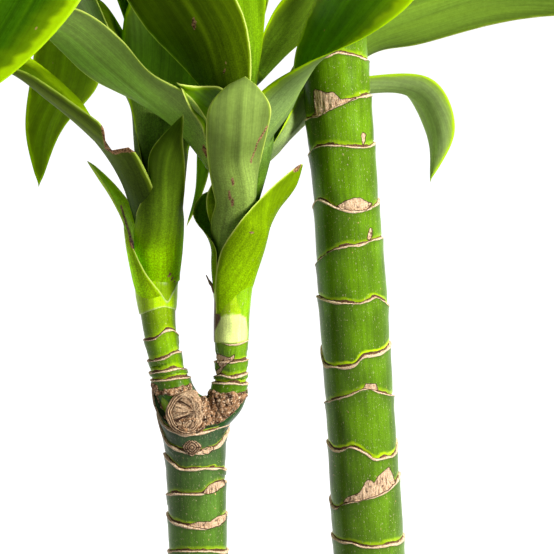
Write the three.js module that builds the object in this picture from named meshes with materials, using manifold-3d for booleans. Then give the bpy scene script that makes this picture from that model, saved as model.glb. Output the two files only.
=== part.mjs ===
// Potted corn plant: a thick ringed cane and a forked cane with two leafy side shoots, both standing
// in the potting soil of one plain pot. Millimetres, +Z up, the origin in the middle of the pot's
// underside, the viewer on the -Y side.

import * as THREE from 'three';
import { mergeVertices } from 'three/addons/utils/BufferGeometryUtils.js';
import Module from 'manifold-3d';

const wasm = await Module();
wasm.setup();

// ---- Driving dimensions ----------------------------------------------------------------------

const GAP = 0.3;

const POT_HEIGHT = 210;
const POT_TOP_RADIUS = 128;
const POT_BASE_RADIUS = 95;
const POT_WALL = 6;
const POT_FLOOR = 8;
const POT_RIM_HEIGHT = 26;
const POT_RIM_STAND_OUT = 5;
const POT_EDGE = 3;
const POT_SIDES = 36;

const SOIL_LEVEL = 186;
const SOIL_LUMPS = 2.5;
const CANE_DEPTH = 100;
const CANE_FOOT = SOIL_LEVEL - CANE_DEPTH;

const TALL_HEIGHT = 800;
const STUB_RADIUS = 11.5;
const STUB_TAPER = 2;
const STUB_LENGTH = 22;
const STUB_SIDES = 18;
const STUB_FACE = [-55, -16, 460];
const STUB_FACING = [-0.12, -0.93, 0.34];

const LEAF_THICKNESS = 0.9;
const SHEATH_FLARE = 0.13;
const FRAME_STEPS = 60;

// ---- Colours ---------------------------------------------------------------------------------

const finish = (color, roughness) => new THREE.MeshStandardMaterial({ color, roughness, metalness: 0 });
const paint = {
  pot: () => finish(0xb5653f, 0.8),
  soil: () => finish(0x35261c, 1),
  cane: () => finish(0x5f8f2c, 0.35),
  leaf: () => finish(0x55781f, 0.45),
  heart: () => finish(0x9fc23a, 0.45),
};

// ---- Curves and keys -------------------------------------------------------------------------

const vec = ([x, y, z]) => new THREE.Vector3(x, y, z);
const radians = THREE.MathUtils.degToRad;
const lerp = THREE.MathUtils.lerp;
const curveThrough = (points) => new THREE.CatmullRomCurve3(points.map(vec), false, 'catmullrom', 0.5);

// A smooth value through [place, value] keys that never overshoots them.
function keyed(keys, place) {
  const slope = (i) => (keys[i + 1][1] - keys[i][1]) / (keys[i + 1][0] - keys[i][0]);
  const tangent = (i) => {
    if (i === 0) return slope(0);
    if (i === keys.length - 1) return slope(i - 1);
    const [before, after] = [slope(i - 1), slope(i)];
    return before * after <= 0 ? 0 : (2 * before * after) / (before + after);
  };
  const at = THREE.MathUtils.clamp(place, keys[0][0], keys[keys.length - 1][0]);
  let i = 0;
  while (i < keys.length - 2 && at >= keys[i + 1][0]) i += 1;
  const span = keys[i + 1][0] - keys[i][0];
  const t = (at - keys[i][0]) / span;
  return (
    (1 + 2 * t) * (1 - t) ** 2 * keys[i][1] +
    t * (1 - t) ** 2 * span * tangent(i) +
    t * t * (3 - 2 * t) * keys[i + 1][1] +
    t * t * (t - 1) * span * tangent(i + 1)
  );
}

// Straight-line value through [place, value] keys.
function ramp(keys, place) {
  const last = keys[keys.length - 1];
  if (place <= keys[0][0]) return keys[0][1];
  if (place >= last[0]) return last[1];
  const i = keys.findIndex((key) => key[0] > place) - 1;
  const t = (place - keys[i][0]) / (keys[i + 1][0] - keys[i][0]);
  return lerp(keys[i][1], keys[i + 1][1], t);
}

// ---- Meshes and solids -----------------------------------------------------------------------

function geometryOf(vertices, triangles) {
  const geometry = new THREE.BufferGeometry();
  geometry.setAttribute('position', new THREE.Float32BufferAttribute(vertices, 3));
  geometry.setIndex(triangles);
  geometry.computeVertexNormals();
  return geometry;
}

function solidOf(geometry) {
  const bare = geometry.clone();
  bare.deleteAttribute('normal');
  bare.deleteAttribute('uv');
  const merged = mergeVertices(bare, 1e-4);
  const mesh = new wasm.Mesh({
    numProp: 3,
    vertProperties: new Float32Array(merged.attributes.position.array),
    triVerts: new Uint32Array(merged.index.array),
  });
  return new wasm.Manifold(mesh);
}

function geometryOfSolid(solid) {
  const mesh = solid.getMesh();
  return geometryOf(Array.from(mesh.vertProperties), Array.from(mesh.triVerts));
}

// A closed body through rings of points, each ring the same length and turning anticlockwise
// seen from above, with a flat fan on the first and the last ring.
function loft(rings) {
  const sides = rings[0].length;
  const middle = (ring) => ring.reduce((sum, p) => sum.add(p), new THREE.Vector3()).divideScalar(sides);
  const points = [...rings.flat(), middle(rings[0]), middle(rings[rings.length - 1])];
  const foot = rings.length * sides;
  const top = foot + 1;
  const triangles = [];
  for (let i = 0; i < rings.length - 1; i += 1) {
    for (let k = 0; k < sides; k += 1) {
      const a = i * sides + k;
      const b = i * sides + ((k + 1) % sides);
      triangles.push(a, b, b + sides, a, b + sides, a + sides);
    }
  }
  for (let k = 0; k < sides; k += 1) {
    const next = (k + 1) % sides;
    const high = (rings.length - 1) * sides;
    triangles.push(foot, next, k, top, high + k, high + next);
  }
  return geometryOf(points.flatMap((p) => [p.x, p.y, p.z]), triangles);
}

// ---- Stems -----------------------------------------------------------------------------------

// Each axis is measured at points from the foot up; between them it runs smoothly.
const TALL_AXIS = [
  [57, 30, CANE_FOOT], [54, 30, 250], [46, 30, 369], [42, 30, 430], [36, 30, 516], [32, 30, 573],
  [27, 30, 629], [23, 30, 684], [16, 30, 745], [9, 30, TALL_HEIGHT], [3, 30, 850], [-2, 30, 905],
];
const TRUNK_AXIS = [[-50, 0, CANE_FOOT], [-51, 0, 300], [-52, 0, 380], [-51, 0, 432], [-48, 0, 450]];
const LEFT_AXIS = [
  [-50, 0, 436], [-59, 2, 458], [-65, 3, 472], [-70, 4, 491], [-73, 5, 512], [-73, 7, 552],
  [-73, 9, 574], [-74, 15, 629], [-75, 21, 662],
];
const RIGHT_AXIS = [
  [-49, -2, 437], [-43, -4, 450], [-37, -5, 460], [-33, -5, 473], [-32, -5, 492], [-32, -6, 511],
  [-30, -7, 542], [-28, -9, 586], [-25, -10, 629], [-23, -11, 660], [-21, -11, 690],
];

function axisAt(axis, z) {
  const along = (k) => axis.map((p) => [p[2], p[k]]);
  return new THREE.Vector3(ramp(along(0), z), ramp(along(1), z), z);
}

// ---- Canes -----------------------------------------------------------------------------------

// How high each old leaf scar sits on a cane, and how much the scar rises from left to right.
const TALL_SCARS = [
  [211, 2], [236, -3], [261, 2], [286, -2], [311, 3], [336, -2], [361, 2], [387, -3], [410, 5], [437, -3],
  [467, 3], [486, 3], [520, -2], [547, 5], [573, -2], [605, 3], [627, 5], [652, -3], [679, 4], [703, -2],
  [727, 3], [751, -3], [775, 2],
];
const TRUNK_SCARS = [
  [212, 1], [238, -2], [264, 2], [290, -1], [316, 2], [342, -2], [367, 1], [382, 0], [396, 0], [413, 2],
  [427, -1],
];
const LEFT_SCARS = [[479, 0], [488, 1], [497, 1]];
const RIGHT_SCARS = [[470, 1], [478, 1], [486, -1]];

const TALL_RADIUS = [
  [CANE_FOOT, 21], [388, 20.5], [454, 19.5], [520, 19.7], [575, 18.4], [612, 18.9], [700, 18.4],
  [TALL_HEIGHT, 17.4], [812, 15.5], [840, 10], [905, 2],
];
const TRUNK_RADIUS = [[CANE_FOOT, 17], [370, 16.1], [408, 16.8], [432, 18], [446, 15], [452, 10]];
const LEFT_RADIUS = [
  [436, 12], [455, 12.5], [465, 12], [472, 10.7], [478, 10.9], [482, 9.5], [505, 9.3], [511.5, 9.3],
  [512, 7.8], [519, 8.9], [524, 10.2], [528.5, 11.2], [529, 8.4], [545, 6.2], [600, 3.2], [662, 1.6],
];
const RIGHT_RADIUS = [
  [437, 12.5], [450, 11.5], [460, 10.4], [473, 9.6], [476, 8.6], [495, 8.6], [508, 9.1], [510.5, 9.1],
  [511, 7.2], [530, 5.8], [560, 4.2], [690, 1.6],
];
const SCAR_RELIEF = 0.6;
const CANE_SIDES = 14;
const SHOOT_SIDES = 12;
const SCAR_HALF = 1.6;

// Heights at which a cane gets a ring of points: every bend of its axis or its radius, and three
// around each scar, where it swells.
function ringHeights(axis, radius, scars) {
  const top = Math.min(axis[axis.length - 1][2], radius[radius.length - 1][0]);
  const near = (z) => scars.some(([at]) => Math.abs(at - z) < 4 * SCAR_HALF);
  const plain = [...axis.map((p) => p[2]), ...radius.map((p) => p[0])].filter((z) => z <= top && !near(z));
  const swollen = scars.flatMap(([at]) => [at - SCAR_HALF, at, at + SCAR_HALF]);
  return [...new Set([...plain, ...swollen])].sort((a, b) => a - b);
}

function cane(axis, radius, scars, sides, wider = 0) {
  const curve = curveThrough(axis).getSpacedPoints(4 * FRAME_STEPS);
  const smoothAxis = curve.map((p) => [p.x, p.y, p.z]);
  return loft(ringHeights(axis, radius, scars).map((z) => {
    const scar = scars.find(([at]) => Math.abs(at - z) <= SCAR_HALF);
    const swell = scar && scar[0] === z ? SCAR_RELIEF : 0;
    const middle = axisAt(smoothAxis, z);
    const r = ramp(radius, z) + swell + wider;
    return Array.from({ length: sides }, (_, k) => {
      const turn = (2 * Math.PI * k) / sides;
      const rise = scar ? scar[1] * Math.cos(turn) : 0;
      return new THREE.Vector3(middle.x + r * Math.cos(turn), middle.y + r * Math.sin(turn), z + rise);
    });
  }));
}

// The cut-off stub of the trunk: a short round log whose sawn face looks at the viewer.
function stub() {
  const facing = vec(STUB_FACING).normalize();
  const log = new THREE.CylinderGeometry(STUB_RADIUS, STUB_RADIUS + STUB_TAPER, STUB_LENGTH, STUB_SIDES);
  log.translate(0, STUB_LENGTH / 2, 0);
  log.applyQuaternion(new THREE.Quaternion().setFromUnitVectors(new THREE.Vector3(0, 1, 0), facing));
  const start = vec(STUB_FACE).addScaledVector(facing, -STUB_LENGTH);
  return log.translate(start.x, start.y, start.z);
}

function forkedCane() {
  const trunk = solidOf(cane(TRUNK_AXIS, TRUNK_RADIUS, TRUNK_SCARS, CANE_SIDES));
  const left = solidOf(cane(LEFT_AXIS, LEFT_RADIUS, LEFT_SCARS, SHOOT_SIDES));
  const right = solidOf(cane(RIGHT_AXIS, RIGHT_RADIUS, RIGHT_SCARS, SHOOT_SIDES));
  return geometryOfSolid(trunk.add(left).add(right).add(solidOf(stub())));
}

// ---- Pot and soil ----------------------------------------------------------------------------

const potRadius = (z) => lerp(POT_BASE_RADIUS, POT_TOP_RADIUS, z / POT_HEIGHT);

function pot() {
  const rimFoot = POT_HEIGHT - POT_RIM_HEIGHT;
  const rim = POT_TOP_RADIUS + POT_RIM_STAND_OUT;
  const inside = (z) => potRadius(z) - POT_WALL;
  const profile = [
    [0, 0], [POT_BASE_RADIUS - POT_EDGE, 0], [POT_BASE_RADIUS, POT_EDGE], [potRadius(rimFoot), rimFoot],
    [potRadius(rimFoot) + POT_RIM_STAND_OUT, rimFoot + 2], [rim, POT_HEIGHT - POT_EDGE],
    [rim - POT_EDGE, POT_HEIGHT], [inside(POT_HEIGHT) + 2, POT_HEIGHT],
    [inside(POT_HEIGHT), POT_HEIGHT - POT_EDGE], [inside(POT_FLOOR), POT_FLOOR], [0, POT_FLOOR],
  ];
  const turned = new THREE.LatheGeometry(profile.map(([r, z]) => new THREE.Vector2(r, z)), POT_SIDES);
  return turned.rotateX(Math.PI / 2);
}

// The soil plug fills the pot and its top is lumpy everywhere but against the wall.
function soilPlug() {
  const foot = POT_FLOOR + GAP;
  const inside = (z) => potRadius(z) - POT_WALL - GAP;
  const steps = [1, 0.93, 0.82, 0.7, 0.57, 0.44, 0.31, 0.18];
  const ring = (radius, height) => Array.from({ length: POT_SIDES }, (_, k) => {
    const turn = (2 * Math.PI * k) / POT_SIDES;
    const [x, y] = [radius * Math.cos(turn), radius * Math.sin(turn)];
    return new THREE.Vector3(x, y, height(x, y));
  });
  const lumps = (step) => (x, y) => {
    const broadLumps = Math.sin(x / 9 + Math.sin(y / 13)) * Math.cos(y / 11 - Math.sin(x / 17));
    const bumps = broadLumps + 0.6 * Math.sin(x / 5 + y / 6);
    return SOIL_LEVEL + (step > 0.9 ? 0 : SOIL_LUMPS * bumps);
  };
  return loft([
    ring(inside(foot), () => foot),
    ...steps.map((step) => ring(step * inside(SOIL_LEVEL), lumps(step))),
  ]);
}

// A plain hole for a cane: the cane itself, wider by the gap on every side and deeper by it.
function caneHole(axis, radius, scars) {
  const hole = cane(axis, radius, scars, CANE_SIDES, GAP / Math.cos(Math.PI / CANE_SIDES));
  const places = hole.attributes.position;
  for (let i = 0; i < places.count; i += 1) {
    if (places.getZ(i) < CANE_FOOT + GAP) places.setZ(i, CANE_FOOT - GAP);
  }
  return solidOf(hole);
}

function pottingSoil() {
  const tallHole = caneHole(TALL_AXIS, TALL_RADIUS, TALL_SCARS);
  const trunkHole = caneHole(TRUNK_AXIS, TRUNK_RADIUS, TRUNK_SCARS);
  return geometryOfSolid(solidOf(soilPlug()).subtract(tallHole.add(trunkHole)));
}

// ---- Leaves ----------------------------------------------------------------------------------

const HEART_GIRTH = [[0, 0.35], [0.12, 0.75], [0.35, 1], [0.6, 0.8], [0.85, 0.4], [1, 0.12]];

// A stem, and on its tip the heart: the youngest leaf, still rolled up.
function stem(axis, radius, heartLength, heartThickness) {
  const top = radius[radius.length - 1][0];
  const foot = top + GAP;
  const girth = HEART_GIRTH.map(([along, share]) => [foot + heartLength * along, heartThickness * share]);
  return { axis, radius: [...radius, ...girth], girth, tip: foot + heartLength };
}

const STEMS = {
  left: stem(LEFT_AXIS, LEFT_RADIUS, 75, 4.5),
  right: stem(RIGHT_AXIS, RIGHT_RADIUS, 65, 4.2),
  tall: stem(TALL_AXIS, TALL_RADIUS, 90, 6),
};

// The middle line of a leaf: three points up the sheath, which hugs the stem, then its own blade.
function middleLine(leaf) {
  const { axis } = STEMS[leaf.stem];
  const outward = new THREE.Vector3(Math.cos(radians(leaf.toward)), Math.sin(radians(leaf.toward)), 0);
  const away = (share) => leaf.hug + (leaf.flare ?? SHEATH_FLARE) * leaf.sheath * share;
  const sheath = [0, 0.5, 1].map((share) => {
    const middle = axisAt(axis, leaf.node + leaf.sheath * share);
    return middle.addScaledVector(outward, away(share));
  });
  const points = [...sheath, ...leaf.blade.map(vec)];
  const length = points.slice(1).reduce((sum, p, i) => sum + p.distanceTo(points[i]), 0);
  const end = leaf.sheath / length;
  const [start, stop] = leaf.wrap;
  return {
    points,
    inward: outward.negate(),
    end,
    curl: [[0, start], [0.97 * end, stop], ...leaf.curl],
    width: [[0, radians(start) * away(0)], [0.97 * end, radians(stop) * away(1)], ...leaf.width],
  };
}

// The grid of points on a leaf's middle surface, row by row from the node to the tip.
function leafGrid(leaf) {
  const line = middleLine(leaf);
  const curve = new THREE.CatmullRomCurve3(line.points, false, 'catmullrom', 0.5);
  const { smoothstep } = THREE.MathUtils;
  const spine = curve.getSpacedPoints(FRAME_STEPS);
  const ahead = spine.map((_, i) => {
    const after = spine[Math.min(i + 1, FRAME_STEPS)];
    return after.clone().sub(spine[Math.max(i - 1, 0)]).normalize();
  });
  let across = line.inward.clone();
  const facing = ahead.map((direction) => {
    across = across.clone().addScaledVector(direction, -across.dot(direction)).normalize();
    return across;
  });
  const [amount, count, phase] = leaf.wave;
  return leaf.rows.flatMap((i) => {
    const s = i / FRAME_STEPS;
    const turn = radians(keyed(leaf.roll, s));
    const side = new THREE.Vector3().crossVectors(ahead[i], facing[i]);
    const up = facing[i].clone().multiplyScalar(Math.cos(turn)).addScaledVector(side, Math.sin(turn));
    const right = new THREE.Vector3().crossVectors(ahead[i], up);
    const half = keyed(line.width, s);
    const bend = Math.max(radians(keyed(line.curl, s)), 1e-3);
    const fade = smoothstep(s, line.end, line.end + 0.2) * (1 - smoothstep(s, 0.8, 1));
    return Array.from({ length: leaf.columns + 1 }, (_, j) => {
      const v = (2 * j) / leaf.columns - 1;
      const ripple = Math.sin(2 * Math.PI * (count * s + phase + 0.23 * Math.sign(v)));
      const lift = amount * fade * Math.abs(v) ** 3 * ripple;
      const normal = right.clone().multiplyScalar(-Math.sin(bend * v));
      normal.addScaledVector(up, Math.cos(bend * v));
      return spine[i].clone()
        .addScaledVector(right, (half / bend) * Math.sin(bend * v))
        .addScaledVector(up, (half / bend) * (1 - Math.cos(bend * v)))
        .addScaledVector(normal, lift);
    });
  });
}

// Both faces stand half the thickness off the middle surface and split into the same triangles.
function blade(sheet) {
  const { points, rows, columns } = sheet;
  const normals = sheetNormals(sheet);
  const face = (sign) => {
    const stand = (sign * LEAF_THICKNESS) / 2;
    return points.map((p, i) => p.clone().addScaledVector(normals[i], stand));
  };
  const under = points.length;
  const triangles = sheet.triangles.flatMap(([a, b, c]) => [a, b, c, under + a, under + c, under + b]);
  const rim = [
    ...Array.from({ length: columns }, (_, j) => j),
    ...Array.from({ length: rows - 1 }, (_, i) => i * (columns + 1) + columns),
    ...Array.from({ length: columns }, (_, j) => (rows - 1) * (columns + 1) + columns - j),
    ...Array.from({ length: rows - 1 }, (_, i) => (rows - 1 - i) * (columns + 1)),
  ];
  rim.forEach((a, k) => {
    const b = rim[(k + 1) % rim.length];
    triangles.push(b, a, under + a, b, under + a, under + b);
  });
  return geometryOf([...face(1), ...face(-1)].flatMap((p) => [p.x, p.y, p.z]), triangles);
}

function sheetOf(name, leaf) {
  const points = leafGrid(leaf);
  const { columns } = leaf;
  const rows = leaf.rows.length;
  const triangles = [];
  for (let i = 0; i < rows - 1; i += 1) {
    for (let j = 0; j < columns; j += 1) {
      const a = i * (columns + 1) + j;
      const b = a + columns + 1;
      triangles.push([a, b + 1, b], [a, a + 1, b + 1]);
    }
  }
  const { stem, node } = leaf;
  return { name, stem, node, rows, columns, points, rest: points.map((p) => p.clone()), triangles };
}

function sheetNormals({ points, rows, columns }) {
  const at = (i, j) => points[
    THREE.MathUtils.clamp(i, 0, rows - 1) * (columns + 1) + THREE.MathUtils.clamp(j, 0, columns)
  ];
  return points.map((_, index) => {
    const i = Math.floor(index / (columns + 1));
    const j = index % (columns + 1);
    const along = at(i + 1, j).clone().sub(at(i - 1, j));
    const over = at(i, j + 1).clone().sub(at(i, j - 1));
    return over.cross(along).normalize();
  });
}

// ---- Settling the leaves ---------------------------------------------------------------------

// Leaves that touch or pierce each other are moved apart a little at a time. Each leaf keeps to
// the side of its neighbour where most of it lies, and what moves draws its surroundings along.
const CLEARANCE = LEAF_THICKNESS + 0.7;
const PIERCE = 7;
const SIDE_REACH = 12;
const BOWL_REACH = 30;
const PASSES = 100;
const LAST_PASSES = 30;
const SMOOTHING = 0.15;
const LONGEST_PUSH = 0.5;

// Places on a sheet that are held clear: the corners of its triangles, the middles of their edges
// and the middles of the triangles, each as corners with equal shares.
function probesOf({ triangles }) {
  const probes = new Map();
  const hold = (...corners) => probes.set([...corners].sort((a, b) => a - b).join(' '), corners);
  for (const [a, b, c] of triangles) {
    hold(a);
    hold(b);
    hold(c);
    hold(a, b);
    hold(b, c);
    hold(c, a);
    hold(a, b, c);
  }
  return [...probes.values()];
}

function probePoint(sheet, probe, out) {
  out.set(0, 0, 0);
  probe.forEach((index) => out.add(sheet.points[index]));
  return out.divideScalar(probe.length);
}

// The nearest place on a sheet to a point: how far, towards where, and in which triangle.
function nearestOn(triangles, point, reach) {
  let found = null;
  let best = reach;
  const near = new THREE.Vector3();
  for (const triangle of triangles) {
    if (triangle.centre.distanceTo(point) - triangle.size > best) continue;
    triangle.shape.closestPointToPoint(point, near);
    const distance = near.distanceTo(point);
    if (distance < best) {
      best = distance;
      found = { triangle, distance, near: near.clone() };
    }
  }
  return found;
}

function shapesOf(sheet) {
  return sheet.triangles.map((corners) => {
    const shape = new THREE.Triangle(...corners.map((index) => sheet.points[index].clone()));
    const centre = shape.getMidpoint(new THREE.Vector3());
    const size = Math.max(...[shape.a, shape.b, shape.c].map((p) => p.distanceTo(centre)));
    return { corners, shape, centre, size, normal: shape.getNormal(new THREE.Vector3()) };
  });
}

function contacts(sheets, reach, visit) {
  const shapes = sheets.map(shapesOf);
  const boxes = sheets.map((sheet) => new THREE.Box3().setFromPoints(sheet.points).expandByScalar(reach));
  const point = new THREE.Vector3();
  sheets.forEach((sheet, a) => {
    sheets.forEach((other, b) => {
      if (a === b || !boxes[a].intersectsBox(boxes[b])) return;
      const close = shapes[b].filter(({ centre, size }) => boxes[a].distanceToPoint(centre) < size);
      for (const probe of sheet.probes) {
        probePoint(sheet, probe, point);
        if (!boxes[b].containsPoint(point)) continue;
        const hit = nearestOn(close, point, reach);
        if (hit) visit(a, b, probe, point, hit);
      }
    });
  });
}

function sidesTaken(sheets) {
  const votes = sheets.map(() => sheets.map(() => 0));
  contacts(sheets, SIDE_REACH, (a, b, probe, point, hit) => {
    const lift = point.clone().sub(hit.near).dot(hit.triangle.normal);
    if (Math.abs(lift) > 0.8 * hit.distance && Math.abs(lift) > 0.3) votes[a][b] += Math.sign(lift);
  });
  return votes.map((row) => row.map(Math.sign));
}

// Which leaf of a crossing pair lies nearer the viewer, where the photo shows it.
const NEARER = [
  ['right_leaf_04', 'left_leaf_04'], ['right_leaf_04', 'left_leaf_05'], ['right_leaf_04', 'left_leaf_06'],
  ['right_leaf_04', 'left_leaf_07'], ['left_leaf_07', 'left_leaf_06'], ['right_leaf_03', 'right_leaf_04'],
  ['right_leaf_02', 'right_leaf_03'], ['right_leaf_03', 'right_leaf_05'], ['left_leaf_02', 'right_leaf_04'],
  ['right_leaf_08', 'left_leaf_06'], ['right_leaf_05', 'right_leaf_07'], ['right_leaf_05', 'right_leaf_06'],
  ['right_leaf_08', 'left_leaf_07'],
];

// Where a leaf's upper face looks at its own stem, an older leaf of that stem lies outside it and a
// younger one inside. Elsewhere the photo tells which leaf is nearer, or else the side is the one
// where most of the leaf lies.
function sideOf(sheet, other, hit, voted) {
  const { normal } = hit.triangle;
  if (sheet.stem === other.stem) {
    const inward = axisAt(STEMS[other.stem].axis, hit.near.z).sub(hit.near);
    const looks = inward.length() < BOWL_REACH && normal.dot(inward.normalize()) > 0.5;
    if (looks) return Math.sign(sheet.node - other.node);
  }
  const nearer = NEARER.some(([a, b]) => a === sheet.name && b === other.name);
  const farther = NEARER.some(([a, b]) => b === sheet.name && a === other.name);
  if ((nearer || farther) && Math.abs(normal.y) > 0.35) return Math.sign(normal.y) * (nearer ? -1 : 1);
  return voted;
}

function pushApart(sheets, sides) {
  const moves = sheets.map((sheet) => sheet.points.map(() => ({ shift: new THREE.Vector3(), count: 0 })));
  const reach = Math.max(CLEARANCE, PIERCE);
  const weights = new THREE.Vector3();
  contacts(sheets, reach, (a, b, probe, point, hit) => {
    const { normal, corners, shape } = hit.triangle;
    const offset = point.clone().sub(hit.near);
    const lift = offset.dot(normal);
    const facing = Math.abs(lift) > 0.6 * hit.distance;
    const side = sideOf(sheets[a], sheets[b], hit, sides[a][b]);
    const wrong = facing && side !== 0 && Math.sign(lift) !== side;
    if (!wrong && hit.distance >= CLEARANCE) return;
    const push = wrong
      ? normal.clone().multiplyScalar((side * (CLEARANCE + hit.distance)) / 2)
      : offset.multiplyScalar((CLEARANCE - hit.distance) / (2 * Math.max(hit.distance, 0.05)));
    for (const index of probe) {
      moves[a][index].shift.add(push);
      moves[a][index].count += 1;
    }
    shape.getBarycoord(hit.near, weights);
    corners.forEach((index, k) => {
      const share = weights.getComponent(k);
      moves[b][index].shift.addScaledVector(push, -share);
      moves[b][index].count += share;
    });
  });
  sheets.forEach((sheet, a) => sheet.points.forEach((p, i) => {
    const { shift, count } = moves[a][i];
    if (count > 0) p.add(shift.divideScalar(Math.max(count, 1)).clampLength(0, LONGEST_PUSH));
  }));
}

// What moves draws its neighbours on the sheet along, so that the blade stays smooth.
function drawAlong(sheet) {
  const { rows, columns, points, rest } = sheet;
  const shifts = points.map((p, i) => p.clone().sub(rest[i]));
  points.forEach((p, index) => {
    const i = Math.floor(index / (columns + 1));
    const j = index % (columns + 1);
    const around = [[i - 1, j], [i + 1, j], [i, j - 1], [i, j + 1]]
      .filter(([row, column]) => row >= 0 && row < rows && column >= 0 && column <= columns)
      .map(([row, column]) => shifts[row * (columns + 1) + column]);
    const mean = new THREE.Vector3();
    around.forEach((shift) => mean.add(shift));
    mean.divideScalar(around.length);
    p.copy(rest[index]).add(shifts[index].clone().lerp(mean, SMOOTHING));
  });
}

function clearOfStems(sheet) {
  const point = new THREE.Vector3();
  for (const { axis, radius, tip } of Object.values(STEMS)) {
    for (const probe of sheet.probes) {
      probePoint(sheet, probe, point);
      if (point.z > tip) continue;
      const middle = axisAt(axis, point.z);
      const away = point.clone().sub(middle);
      const lack = ramp(radius, point.z) + LEAF_THICKNESS / 2 + 2 * GAP - away.length();
      if (lack <= 0) continue;
      away.setLength(lack);
      probe.forEach((index) => sheet.points[index].add(away));
    }
  }
}

function settle(sheets) {
  sheets.forEach((sheet) => { sheet.probes = probesOf(sheet); });
  const sides = sidesTaken(sheets);
  for (let pass = 0; pass < PASSES; pass += 1) {
    pushApart(sheets, sides);
    if (pass < PASSES - LAST_PASSES) sheets.forEach(drawAlong);
    sheets.forEach(clearOfStems);
  }
}

// ---- The leaves seen in the photo ------------------------------------------------------------

// Each leaf: the stem it grows on, the height of its node and the bearing it leaves by, the length
// and half-angles of its clasping sheath, how far the sheath stands off the stem's axis, the points
// its blade passes through, and keys along its length for half width, half-angle of the channel and
// roll. Wave is the height, number and phase of the ripples of its margins. Rows are the steps
// along the leaf, out of FRAME_STEPS, that become edges across its blade.
const FULL_ROWS = [0, 3, 6, 10, 15, 21, 28, 36, 44, 52, 60];
const broad = { rows: FULL_ROWS, columns: 8 };
const plain = { rows: FULL_ROWS, columns: 6 };

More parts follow.
